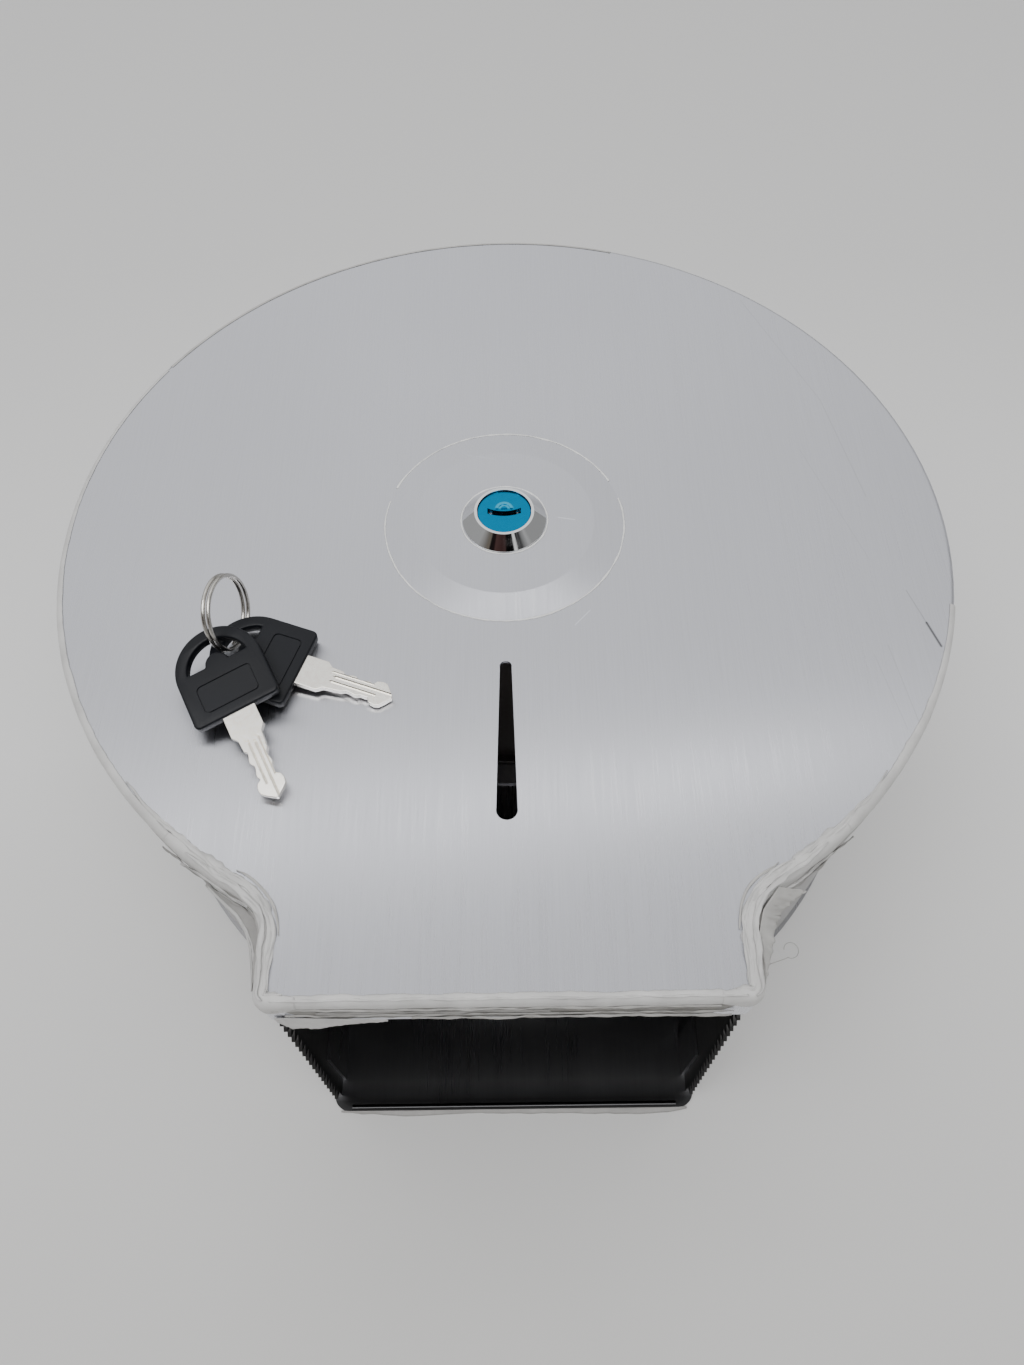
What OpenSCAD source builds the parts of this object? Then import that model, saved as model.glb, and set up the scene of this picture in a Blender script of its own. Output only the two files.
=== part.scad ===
// Jumbo toilet roll dispenser, lying on its back: the wall side is Z = 0, the front faces +Z,
// the top of the mounted dispenser is +Y, and the lock, the hub and the screw pattern share the Z axis.

/* [Cover] */
// Radius of the round part of the cover
cover_r = 135; // [125:1:150]
// How far the neck reaches below the round part
neck_len = 10; // [9:1:30]
// Width of the neck
neck_w = 121; // [105:1:130]
// Radius of the hollow corner between the round part and the neck
neck_fillet_r = 15; // [10:1:25]
// Radius of the cover's two lower corners
corner_r = 3; // [2.8:0.1:6]
// Thickness of the cover sheet
cover_sheet = 1; // [0.8:0.1:1.2]
// Outer radius of the bend round the cover's rim
bend_r = 1.6; // [1.4:0.1:2.4]
// Depth of the cover's flange
flange_depth = 15; // [13:1:20]
// Distance from the wall to the cover's face
total_depth = 118; // [112:1:130]

/* [Boss and slot] */
// Radius of the raised boss at its foot
boss_r = 36.5; // [32:0.5:42]
// Radius of the flat top of the boss
boss_top_r = 27.5; // [20:0.5:30]
// Height of the boss
boss_rise = 1.2; // [0.6:0.1:2]
// Distance from the lock axis to the centre of the slot's upper end
slot_top_y = 52; // [48:1:56]
// Distance from the lock axis to the centre of the slot's lower end
slot_low_y = 95.8; // [80:0.2:110]
// Radius of the slot's upper end
slot_top_r = 1.7; // [1.2:0.1:2.2]
// Radius of the slot's lower end
slot_low_r = 2.85; // [2.3:0.05:3.5]

/* [Housing] */
// Free gap between the cover's flange and the side wall
cover_gap = 1.4; // [1.2:0.1:2]
// Thickness of the side wall
wall_sheet = 1; // [0.8:0.1:1.2]
// Thickness of the back panel
back_sheet = 1; // [0.8:0.1:1.5]
// How far the back panel stands out past the side wall
back_lip = 1.2; // [0.6:0.1:1.8]
// Depth of the back panel's upturned flange
tray_depth = 34; // [20:1:45]
// How far the back panel's lower edge stands below the cover's
back_below = 6.5; // [3:0.5:8]
// Radius of the hem along the back panel's lower edge
hem_r = 1; // [0.8:0.1:1.4]
// Distance between the wall screws, across and up
screw_pitch = 120; // [100:1:125]
// Radius of a wall screw hole
screw_hole_r = 3; // [2.5:0.1:3.5]

/* [Teeth] */
// Distance from one tooth to the next
tooth_pitch = 5.2; // [4:0.1:7]
// Height of a tooth
tooth_h = 2.6; // [1.5:0.1:3.5]
// How far the toothed edge at the cover stands above the cover's lower edge
tooth_above = 2.5; // [1:0.5:4]
// How much lower the toothed edge sits at the wall
tooth_drop = 5; // [0:0.5:6]

/* [Hinge] */
// Distance from the rounding of the cover's lower corners up to the hinge axis
hinge_up = 2.5; // [2.4:0.1:4]
// Distance from the cover's face back to the hinge axis
hinge_in = 7; // [6.5:0.1:8]
// Radius of a hinge rivet's shank
hinge_pin_r = 2; // [1.5:0.1:2.2]
// Radius of the ear round the hinge rivet
ear_r = 4; // [3.7:0.1:4.1]
// Radius of a hinge rivet's domed head
hinge_head_r = 4; // [3:0.1:5]
// Height of a hinge rivet's domed head
hinge_head_h = 2; // [1.2:0.1:2.4]
// Running clearance of the hinge rivet in the cover
pin_clear = 0.08; // [0.04:0.01:0.1]

/* [Roll holder] */
// Outer radius of the post
post_r = 20; // [18:0.5:22]
// Wall of the post
post_wall = 1.2; // [1:0.1:1.6]
// Radius of the post's foot
foot_r = 34; // [31:1:38]
// Thickness of the post's foot
foot_t = 1.2; // [1:0.1:2]
// Radius of the circle through the foot's rivets
foot_rivet_ring = 29.5; // [29:0.5:30]
// Number of rivets in the foot
foot_rivets = 3; // [3:1:6]
// Radius of a foot rivet's shank
foot_rivet_r = 1.8; // [1.4:0.1:2]
// Radius of the strike plate
strike_r = 22.8; // [21.5:0.1:24]
// Thickness of the strike plate
strike_t = 1.5; // [1.2:0.1:2]
// Running clearance of the roll hub on the post
hub_clear = 0.1; // [0.05:0.01:0.1]
// Wall of the roll hub
hub_wall = 3; // [2.5:0.1:4]
// How far the ribs stand out from the roll hub
hub_rib_h = 2.6; // [1.5:0.1:3]
// Number of ribs on the roll hub
hub_ribs = 6; // [4:1:10]
// Thickness of a rib
hub_rib_t = 2; // [1.5:0.1:3]

/* [Lock] */
// Radius of the bezel at its foot
bezel_r = 12.8; // [11.5:0.1:14]
// Radius of the bezel's top
bezel_top_r = 9.4; // [9:0.1:10]
// Height of the bezel
bezel_h = 4.2; // [3:0.1:5]
// Radius of the lock barrel
barrel_r = 9.2; // [8.8:0.1:9.4]
// Distance from the bezel's foot to the barrel's end
barrel_len = 19.2; // [16:0.1:20]
// Distance between the barrel's two flats
barrel_flats = 16.4; // [15.5:0.1:17]
// Radius of the turning plug
plug_r = 6.9; // [6:0.1:7.4]
// Radius of the blue cap
cap_r = 8.2; // [7.8:0.1:8.5]
// Thickness of the blue cap
cap_t = 1.6; // [1:0.1:2]
// How far the blue cap sits below the bezel's top
cap_down = 0.6; // [0.3:0.1:0.8]
// Running clearance of the plug in the barrel
plug_clear = 0.1; // [0.05:0.01:0.1]
// Width of the keyway
keyway_w = 1.9; // [1.5:0.1:2.2]
// Depth of the keyway
keyway_depth = 9; // [6:0.5:12]
// Width of the cam
cam_w = 12; // [10:0.5:13]
// Reach of the cam from the lock axis
cam_reach = 15; // [12:0.5:16]
// Thickness of the cam
cam_t = 2; // [1.5:0.1:2.5]
// Width across the flats of the lock nut
nut_af = 24; // [22:0.5:26]
// Thickness of the lock nut
nut_t = 5; // [3:0.5:6]
// Thickness of the lock washer
washer_t = 0.8; // [0.5:0.1:1.2]

/* [Keys] */
// Width of a key's head
head_w = 24.6; // [22:0.2:26]
// Length of a key's head
head_len = 26.5; // [26:0.5:29]
// Thickness of a key's head
head_t = 3.2; // [2.8:0.1:3.6]
// Length of a key's blade outside the head
blade_len = 27; // [25:0.5:30]
// Width of a key's blade at the head
blade_w = 9.6; // [9:0.1:11]
// Thickness of a key's blade
blade_t = 1.8; // [1.4:0.1:2]
// Radius of the middle line of the key ring
ring_r = 10.4; // [10:0.1:11]
// Thickness of the key ring's wire
wire_d = 1.2; // [1:0.1:1.4]

/* [Hidden] */
$fn = 96;
cover_fn = 240;
boss_fn = 144;
small_fn = 48;
tiny_fn = 32;
over = 1;                 // how far a cut runs past what it cuts
seat = 0.04;              // gap between curved faces that are fixed to each other
step = 0.04;              // small step where a hollow corner runs into the faces beside it

// Outlines, counted as how far each is drawn in from the cover's own edge
wall_inset = cover_sheet + cover_gap;
tray_inset = wall_inset + wall_sheet + seat;
back_inset = wall_inset - back_lip;
neck_drop = cover_r + neck_len;
back_drop = neck_drop + back_below;
fillet_x = neck_w / 2 + neck_fillet_r;
fillet_y = -sqrt(pow(cover_r + neck_fillet_r, 2) - pow(fillet_x, 2));

// Heights
face_z = total_depth;
cover_in_z = face_z - cover_sheet;
wall_top_gap = 0.5;
wall_top_z = cover_in_z - wall_top_gap;
bezel_z = face_z + boss_rise;
cap_top_z = bezel_z + bezel_h - cap_down;
barrel_end_z = bezel_z - barrel_len;
strike_gap = 1;
strike_z = barrel_end_z - strike_gap - strike_t;
foot_z = back_sheet;
post_z = foot_z + foot_t;
thrust_t = 0.8;
hub_end_gap = 0.5;
thrust_gap = 0.1;
hub_z = post_z + thrust_t + thrust_gap;
hub_h = strike_z - hub_end_gap - hub_z;
hub_bore_r = post_r + hub_clear;
hub_r = hub_bore_r + hub_wall;
cam_gap = 0.9;
cam_top_z = strike_z - cam_gap;
cam_z = cam_top_z - cam_t;

// Hinge
hinge_y = -(neck_drop - corner_r - hinge_up);
hinge_z = face_z - hinge_in;
wall_x = neck_w / 2 - wall_inset;                 // outside of the neck's side wall
open_turn = 95;
swing_gap = 0.8;
notch_gap = 1.2;          // room between the cover's swinging lower flange and the side wall
flange_down = corner_r + hinge_up;                // from the axis to the outside of the lower flange
flange_back = flange_depth - hinge_in;            // from the axis to the edge of the lower flange
notch_r = sqrt(pow(flange_down, 2) + pow(flange_back, 2)) + notch_gap;
bridge_low = (flange_down - cover_sheet) * sin(open_turn) + flange_back * cos(open_turn) - swing_gap;
pivot_washer_r = hinge_up + 0.5;                  // stays inside the rounded corner
tooth_front_y = neck_drop - tooth_above;
tooth_front_z = hinge_z - notch_r;
tooth_count = floor((tooth_front_z - back_sheet - 1) / tooth_pitch);
tooth_slope = tooth_drop / total_depth;

// Slot for the cam in the strike plate: the cover swings the cam upward a little as it opens
cam_tail = 8;
cam_side_gap = 1;
swing_room = 2.8;
tail_r = 4.5;
screw_r = 2;
cam_washer_t = 0.8;
screw_head_h = 2.6;
screw_head_r = 3.8;
screw_len = 7;            // how far the cam screw reaches into the plug

// Colours
steel = [0.70, 0.71, 0.73];
bright = [0.82, 0.83, 0.85];
chrome = [0.88, 0.89, 0.91];
zinc = [0.72, 0.74, 0.76];
blue = [0.09, 0.52, 0.75];
white_nylon = [0.90, 0.90, 0.88];
grey_plastic = [0.55, 0.56, 0.58];
black_plastic = [0.06, 0.06, 0.07];
nickel = [0.78, 0.76, 0.70];

// ---------- outlines shared by the cover, the side wall and the back panel ----------

// Neck with its two rounded lower corners
module neck_2d(half_w, drop, r) {
    translate([-half_w, -drop + r]) square([2 * half_w, drop - r]);
    translate([-half_w + r, -drop]) square([2 * (half_w - r), 2 * r]);
    for (s = [-1, 1]) translate([s * (half_w - r), -drop + r]) circle(r = r);
}

// Round part, neck and the hollow corners between them, drawn in by inset
module outline_2d(inset, drop, r) {
    circle(r = cover_r - inset, $fn = cover_fn);
    neck_2d(neck_w / 2 - inset, drop, r);
    for (s = [-1, 1]) hollow_corner_2d(s, inset);
}

module hollow_corner_2d(s, inset) {
    mirror([s < 0 ? 1 : 0, 0]) difference() {
        hollow_corner_base_2d(inset);
        translate([fillet_x, fillet_y]) circle(r = neck_fillet_r + inset);
    }
}

// Ground that holds the hollow corner, from the lock axis out to the corner's centre
module hollow_corner_base_2d(inset) {
    share = (cover_r - inset) / (cover_r + neck_fillet_r);
    polygon([
        [0, 0],
        [fillet_x * share, fillet_y * share],
        [fillet_x, fillet_y],
        [neck_w / 2 - inset, fillet_y],
        [0, fillet_y]
    ]);
}

// The outline as a block standing on z_low
module outline_block(inset, drop, z_low, z_high) {
    h = z_high - z_low;
    translate([0, 0, z_low]) {
        cylinder(r = cover_r - inset, h = h, $fn = cover_fn);
        linear_extrude(h) neck_2d(neck_w / 2 - inset, drop, over);
        for (s = [0, 1]) mirror([s, 0, 0]) difference() {
            linear_extrude(h) hollow_corner_base_2d(inset);
            translate([fillet_x, fillet_y, -over]) cylinder(r = neck_fillet_r + inset, h = h + 2 * over);
        }
    }
}

// A wall of sheet that follows the outline and is open at the throat
module throat_band(inset, sheet, z_low, z_high) {
    drop = neck_drop + tooth_drop + 2 * tooth_h;
    difference() {
        outline_block(inset, drop, z_low, z_high);
        outline_block(inset + sheet, drop + 2 * over, z_low - over, z_high + over);
    }
}

// Section of a block whose upper outer edge is rounded: X runs out to r, Y is the height
module rounded_edge_2d(r, h, edge_r) {
    square([r - edge_r, h]);
    square([r, h - edge_r]);
    translate([r - edge_r, h - edge_r]) intersection() {
        circle(r = edge_r, $fn = small_fn);
        square(edge_r);
    }
}

// Section of a tool that leaves a hollow corner with a rounded upper edge
module flared_edge_2d(r, h, edge_r) {
    difference() {
        translate([0, -over]) square([r + edge_r, h + 2 * over]);
        translate([r, -2 * over]) square([edge_r + over, h - edge_r + 2 * over]);
        translate([r + edge_r, h - edge_r]) circle(r = edge_r, $fn = small_fn);
    }
}

// The cover's outline as a solid block with a rounded upper edge, drawn in by inset
module cover_block(inset, z_low, z_high, edge_r) {
    h = z_high - z_low;
    half_w = neck_w / 2 - inset;
    low_y = -neck_drop + inset;
    r = corner_r - inset;
    translate([0, 0, z_low]) {
        rotate_extrude($fn = cover_fn) rounded_edge_2d(cover_r - inset, h, edge_r);
        for (s = [0, 1]) mirror([s, 0, 0]) {
            translate([half_w - r, low_y + r, 0]) rotate_extrude() rounded_edge_2d(r, h, edge_r);
            difference() {
                linear_extrude(h) hollow_corner_base_2d(inset);
                translate([fillet_x, fillet_y, 0]) rotate_extrude() {
                    flared_edge_2d(neck_fillet_r + inset - step, h, edge_r);
                }
            }
            rotate([90, 0, 0]) linear_extrude(-low_y - r) rounded_edge_2d(half_w, h, edge_r);
        }
        translate([-half_w + r, 0, 0]) rotate([90, 0, 90]) linear_extrude(2 * (half_w - r)) {
            mirror([1, 0]) rounded_edge_2d(-low_y, h, edge_r);
        }
    }
}

// A cut along X whose profile is drawn in Y and Z
module cut_across(width) {
    translate([-width / 2, 0, 0]) rotate([90, 0, 90]) linear_extrude(width) children();
}

function tooth_edge_y(z) = -tooth_front_y - tooth_slope * (tooth_front_z - z);

// ---------- housing ----------

module back_panel() {
    back_corner_r = 5;
    color(steel) difference() {
        union() {
            linear_extrude(back_sheet) outline_2d(back_inset, back_drop, back_corner_r);
            difference() {
                throat_band(tray_inset, back_sheet, back_sheet / 2, tray_depth);
                translate([-cover_r, -2 * neck_drop, -over]) {
                    cube([2 * cover_r, 2 * neck_drop - tooth_front_y + over, tray_depth + 2 * over]);
                }
            }
            hem_half = neck_w / 2 - back_inset - back_corner_r - 1;
            translate([-hem_half, -back_drop + hem_r, hem_r]) rotate([0, 90, 0]) {
                cylinder(r = hem_r, h = 2 * hem_half, $fn = tiny_fn);
            }
        }
        for (x = [-1, 1], y = [-1, 1]) {
            translate([x * screw_pitch / 2, y * screw_pitch / 2, -over]) {
                cylinder(r = screw_hole_r, h = back_sheet + 2 * over);
            }
        }
        foot_rivet_holes(foot_rivet_r + seat);
    }
}

module foot_rivet_holes(r) {
    for (i = [0 : foot_rivets - 1]) {
        rotate([0, 0, 90 + i * 360 / foot_rivets]) translate([foot_rivet_ring, 0, -over]) {
            cylinder(r = r, h = post_z + 2 * over, $fn = tiny_fn);
        }
    }
}

// The two ends of the side wall stop in a row of teeth that tear the paper
module side_wall() {
    color(steel) difference() {
        throat_band(wall_inset, wall_sheet, back_sheet, wall_top_z);
        cut_across(neck_w + 2 * over) throat_cut_2d();
        hinge_notch();
        for (s = [-1, 1]) {
            translate([s * wall_x, hinge_y, hinge_z]) rotate([0, 90, 0]) {
                cylinder(r = hinge_pin_r + seat, h = 4 * wall_sheet, center = true, $fn = small_fn);
            }
        }
    }
}

module throat_cut_2d() {
    low = -2 * neck_drop;
    teeth = [
        for (i = [0 : tooth_count - 1], k = [0, 1])
            let (z = tooth_front_z - (i + k / 2) * tooth_pitch)
            [tooth_edge_y(z) - k * tooth_h, z]
    ];
    last_z = tooth_front_z - tooth_count * tooth_pitch;
    polygon(concat(
        [[low, wall_top_z + over], [tooth_edge_y(tooth_front_z), wall_top_z + over]],
        teeth,
        [[tooth_edge_y(last_z), last_z], [tooth_edge_y(last_z), -over], [low, -over]]
    ));
}

// Room for the cover's lower flange to swing through, all but the ear and the bridge that carries it
module hinge_notch() {
    for (s = [-1, 1]) difference() {
        translate([s * wall_x, hinge_y, hinge_z]) rotate([0, 90, 0]) {
            cylinder(r = notch_r, h = 6 * wall_sheet, center = true);
        }
        translate([s * wall_x, hinge_y, hinge_z]) {
            rotate([0, 90, 0]) cylinder(r = ear_r, h = 8 * wall_sheet, center = true);
            translate([-4 * wall_sheet, 0, -bridge_low]) {
                cube([8 * wall_sheet, notch_r + over, bridge_low + hinge_in]);
            }
        }
    }
}

module spindle_post() {
    foot_rim = 3.6;
    color(steel) difference() {
        union() {
            translate([0, 0, foot_z]) cylinder(r = foot_r, h = foot_t);
            translate([0, 0, foot_z]) cylinder(r = post_r, h = strike_z - foot_z);
        }
        translate([0, 0, post_z]) cylinder(r = post_r - post_wall, h = strike_z);
        translate([0, 0, -over]) cylinder(r = post_r - foot_rim, h = strike_z);
        foot_rivet_holes(foot_rivet_r + seat);
    }
}

// Three rivets hold the post's foot on the back panel
module spindle_rivets() {
    rivet_head_r = 1.5 * foot_rivet_r;
    rivet_head_h = 0.7 * foot_rivet_r;
    color(zinc) for (i = [0 : foot_rivets - 1]) {
        rotate([0, 0, 90 + i * 360 / foot_rivets]) translate([foot_rivet_ring, 0, 0]) {
            cylinder(r = foot_rivet_r, h = post_z, $fn = tiny_fn);
            translate([0, 0, post_z]) dome(rivet_head_r, rivet_head_h);
        }
    }
}

// A low dome standing on Z = 0, cut from a sphere
module dome(r, h) {
    ball = (r * r + h * h) / (2 * h);
    intersection() {
        translate([0, 0, h - ball]) sphere(r = ball);
        cylinder(r = r + over, h = h + over);
    }
}

// Front plate of the post: the cam passes its slot and locks behind it
module strike_plate() {
    slot_half = cam_w / 2 + cam_side_gap;
    color(bright) translate([0, 0, strike_z]) difference() {
        cylinder(r = strike_r, h = strike_t);
        translate([-slot_half, -cam_tail - cam_side_gap, -over]) {
            cube([2 * slot_half, cam_tail + cam_reach + cam_side_gap + swing_room, strike_t + 2 * over]);
        }
    }
}

module thrust_washer() {
    color(white_nylon) translate([0, 0, post_z]) difference() {
        cylinder(r = hub_r, h = thrust_t);
        translate([0, 0, -over]) cylinder(r = hub_bore_r, h = thrust_t + 2 * over);
    }
}

module roll_hub() {
    end_t = 2;
    rib_in = 0.4;
    rib_out = hub_r + hub_rib_h - rib_in;
    rib_foot = hub_bore_r + hub_wall / 2;
    color(grey_plastic) translate([0, 0, hub_z]) difference() {
        union() {
            cylinder(r = hub_r, h = hub_h);
            cylinder(r = hub_r + hub_rib_h, h = end_t);
            for (i = [0 : hub_ribs - 1]) rotate([0, 0, i * 360 / hub_ribs]) {
                translate([0, hub_rib_t / 2, 0]) rotate([90, 0, 0]) linear_extrude(hub_rib_t) polygon([
                    [rib_foot, end_t / 2],
                    [rib_out, end_t / 2],
                    [rib_out, hub_h - 3 * hub_rib_h],
                    [rib_foot, hub_h - hub_rib_h]
                ]);
            }
        }
        translate([0, 0, -over]) cylinder(r = hub_bore_r, h = hub_h + 2 * over);
    }
}

// Rivet through the cover's flange, the washer and the side wall's ear, its head outside on +X
module pivot_rivet(s) {
    peened_t = 1;
    out_x = neck_w / 2 + seat;
    in_x = wall_x - wall_sheet - peened_t - seat;
    color(bright) translate([0, hinge_y, hinge_z]) rotate([0, s * 90, 0]) {
        translate([0, 0, in_x]) cylinder(r = hinge_pin_r, h = out_x - in_x, $fn = small_fn);
        translate([0, 0, in_x]) cylinder(r = hinge_pin_r + peened_t, h = peened_t, $fn = small_fn);
        translate([0, 0, out_x]) dome(hinge_head_r, hinge_head_h);
    }
}

module pivot_rivet_left() { pivot_rivet(-1); }
module pivot_rivet_right() { pivot_rivet(1); }

module pivot_washer(s) {
    side_play = 0.2;
    color(white_nylon) translate([0, hinge_y, hinge_z]) rotate([0, s * 90, 0]) {
        translate([0, 0, wall_x]) difference() {
            cylinder(r = pivot_washer_r, h = cover_gap - side_play, $fn = small_fn);
            translate([0, 0, -over]) cylinder(r = hinge_pin_r + seat, h = cover_gap + 2 * over, $fn = small_fn);
        }
    }
}

module pivot_washer_left() { pivot_washer(-1); }
module pivot_washer_right() { pivot_washer(1); }

// ---------- cover ----------

// Long slot that widens downward between two round ends
module slot_2d() {
    ends = [[slot_top_y, slot_top_r], [slot_low_y, slot_low_r]];
    for (e = ends) translate([0, -e[0]]) circle(r = e[1], $fn = small_fn);
    polygon([
        for (i = [0, 1], s = i == 0 ? [-1, 1] : [1, -1]) [s * (ends[i][1] - step), -ends[i][0]]
    ]);
}

// The boss is a cone frustum of the same sheet, so its inside follows its outside
module boss_shell() {
    translate([0, 0, cover_in_z]) rotate_extrude($fn = boss_fn) polygon([
        [0, boss_rise],
        [boss_top_r, boss_rise],
        [boss_r, 0],
        [boss_r, cover_sheet],
        [boss_top_r, boss_rise + cover_sheet],
        [0, boss_rise + cover_sheet]
    ]);
}

// Round hole with two flats that stops the barrel from turning
module flatted_cylinder(r, flats, h) {
    intersection() {
        cylinder(r = r, h = h);
        translate([-flats / 2, -r - over, 0]) cube([flats, 2 * r + 2 * over, h]);
    }
}

module front_cover() {
    hole_gap = 0.15;
    color(steel) difference() {
        union() {
            difference() {
                cover_block(0, face_z - flange_depth, face_z, bend_r);
                cover_block(cover_sheet, face_z - flange_depth - over, cover_in_z, bend_r - cover_sheet);
                translate([0, 0, cover_in_z - over]) {
                    cylinder(r = boss_r, h = cover_sheet + 2 * over, $fn = boss_fn);
                    linear_extrude(cover_sheet + 2 * over) slot_2d();
                }
            }
            boss_shell();
        }
        translate([0, 0, cover_in_z]) {
            hole_h = boss_rise + cover_sheet + over;
            flatted_cylinder(barrel_r + hole_gap, barrel_flats + 2 * hole_gap, hole_h);
        }
        for (s = [-1, 1]) {
            translate([s * (neck_w - cover_sheet) / 2, hinge_y, hinge_z]) rotate([0, 90, 0]) {
                cylinder(r = hinge_pin_r + pin_clear, h = 4 * cover_sheet, center = true, $fn = small_fn);
            }
        }
    }
}

// ---------- lock ----------

module lock_housing() {
    edge_h = 0.5;
    top_chamfer = 0.3;
    bore_r = plug_r + plug_clear;
    cap_bore_r = cap_r + plug_clear;
    seat_z = bezel_h - cap_down - cap_t;
    color(chrome) translate([0, 0, bezel_z]) difference() {
        rotate_extrude() polygon([
            [bore_r, -barrel_len],
            [barrel_r, -barrel_len],
            [barrel_r, 0],
            [bezel_r, 0],
            [bezel_r, edge_h],
            [bezel_top_r, bezel_h - top_chamfer],
            [bezel_top_r - top_chamfer, bezel_h],
            [cap_bore_r, bezel_h],
            [cap_bore_r, seat_z],
            [bore_r, seat_z]
        ]);
        for (s = [-1, 1]) translate([s * (barrel_flats / 2 + barrel_r), 0, -barrel_len / 2 - over]) {
            cube([2 * barrel_r, 2 * barrel_r, barrel_len + 2 * over], center = true);
        }
    }
}

module lock_washer() {
    rim = 0.6;
    bore_gap = 0.15;
    color(zinc) translate([0, 0, bezel_z - cover_sheet - washer_t]) difference() {
        cylinder(r = nut_af / 2 + rim, h = washer_t);
        translate([0, 0, -over]) cylinder(r = barrel_r + bore_gap, h = washer_t + 2 * over);
    }
}

module lock_nut() {
    color(zinc) translate([0, 0, bezel_z - cover_sheet - washer_t - nut_t]) difference() {
        rotate([0, 0, 30]) cylinder(r = nut_af / sqrt(3), h = nut_t, $fn = 6);
        translate([0, 0, -over]) cylinder(r = barrel_r + seat, h = nut_t + 2 * over);
    }
}

// One shallow bow that hangs down in the middle, as the key's bent section does
module keyway_2d() {
    bow_r = 12;
    half_w = 5.1;
    low_y = -0.6;
    translate([0, low_y + bow_r]) intersection() {
        difference() {
            circle(r = bow_r + keyway_w / 2);
            circle(r = bow_r - keyway_w / 2);
        }
        translate([-half_w, -bow_r - keyway_w]) square([2 * half_w, bow_r]);
    }
}

module keyway_cut() {
    translate([0, 0, cap_top_z - keyway_depth]) linear_extrude(keyway_depth + over) keyway_2d();
}

module lock_plug() {
    top_z = cap_top_z - cap_t;
    color(bright) difference() {
        union() {
            translate([0, 0, barrel_end_z]) cylinder(r = plug_r, h = top_z - barrel_end_z);
            translate([0, 0, cam_z]) cylinder(r = tail_r, h = barrel_end_z - cam_z + over);
        }
        keyway_cut();
        translate([0, 0, cam_z - over]) cylinder(r = screw_r + seat, h = screw_len + 2 * over);
    }
}

module plug_cap() {
    mark_r = 2.6;
    mark_w = 0.8;
    mark_up = 1.2;
    mark_h = 0.25;
    dot_r = 0.9;
    sunk = 0.1;
    color(blue) difference() {
        union() {
            translate([0, 0, cap_top_z - cap_t]) cylinder(r = cap_r, h = cap_t);
            translate([0, mark_up, cap_top_z - sunk]) linear_extrude(sunk + mark_h) intersection() {
                union() {
                    difference() {
                        circle(r = mark_r, $fn = small_fn);
                        circle(r = mark_r - mark_w, $fn = small_fn);
                    }
                    circle(r = dot_r, $fn = tiny_fn);
                }
                translate([-mark_r, 0]) square([2 * mark_r, mark_r]);
            }
        }
        keyway_cut();
    }
}

// Flat tongue that turns with the plug: along +Y it is free, across X it is locked
module lock_cam() {
    end_r = 3;
    color(zinc) translate([0, 0, cam_z]) difference() {
        linear_extrude(cam_t) {
            translate([-cam_w / 2, -cam_tail + end_r]) {
                square([cam_w, cam_tail + cam_reach - 2 * end_r]);
            }
            translate([-cam_w / 2 + end_r, -cam_tail]) {
                square([cam_w - 2 * end_r, cam_tail + cam_reach]);
            }
            for (x = [-1, 1], y = [-cam_tail + end_r, cam_reach - end_r]) {
                translate([x * (cam_w / 2 - end_r), y]) circle(r = end_r, $fn = tiny_fn);
            }
        }
        translate([0, 0, -over]) cylinder(r = tail_r + seat, h = cam_t + 2 * over);
    }
}

module cam_washer() {
    rim = 1;
    bore_gap = 0.15;
    color(zinc) translate([0, 0, cam_z - cam_washer_t]) difference() {
        cylinder(r = tail_r + rim, h = cam_washer_t);
        translate([0, 0, -over]) cylinder(r = screw_r + bore_gap, h = cam_washer_t + 2 * over);
    }
}

module cam_screw() {
    head_z = cam_z - cam_washer_t - screw_head_h;
    recess = 1.2;
    cross_len = 4.4;
    cross_w = 1;
    color(zinc) translate([0, 0, head_z]) difference() {
        union() {
            cylinder(r = screw_head_r, h = screw_head_h);
            cylinder(r = screw_r, h = screw_head_h + cam_washer_t + screw_len);
        }
        for (a = [0, 90]) rotate([0, 0, a]) translate([-cross_len / 2, -cross_w / 2, -over]) {
            cube([cross_len, cross_w, recess + over]);
        }
    }
}

// ---------- keys: each is drawn flat, its tip along +X and its shoulder on the Y axis ----------

head_corner_r = 1.6;
head_round_r = head_w / 2;
head_top_x = -head_len + head_round_r;            // centre of the round top
blade_root = 6;           // how deep the blade sits in the head

// D shape: a straight shoulder and a round top
module head_2d(inset) {
    r = head_round_r - inset;
    translate([head_top_x, 0]) circle(r = r);
    translate([head_top_x, -r]) square([-head_top_x - inset - head_corner_r, 2 * r]);
    translate([head_top_x, -r + head_corner_r]) square([-head_top_x - inset, 2 * (r - head_corner_r)]);
    for (s = [-1, 1]) translate([-inset - head_corner_r, s * (r - head_corner_r)]) {
        circle(r = head_corner_r, $fn = tiny_fn);
    }
}

// Crescent hole for the ring, with a round bump standing into it
module head_hole_2d() {
    rim_w = 3.4;
    bump_r = 3.4;
    bump_x = head_top_x - 1.2;
    flat_x = head_top_x - 1.6;
    hole_r = head_round_r - rim_w;
    difference() {
        translate([head_top_x, 0]) circle(r = hole_r);
        translate([flat_x, -hole_r - over]) square([2 * hole_r, 2 * hole_r + 2 * over]);
        translate([bump_x, 0]) circle(r = bump_r, $fn = small_fn);
    }
}

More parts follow.
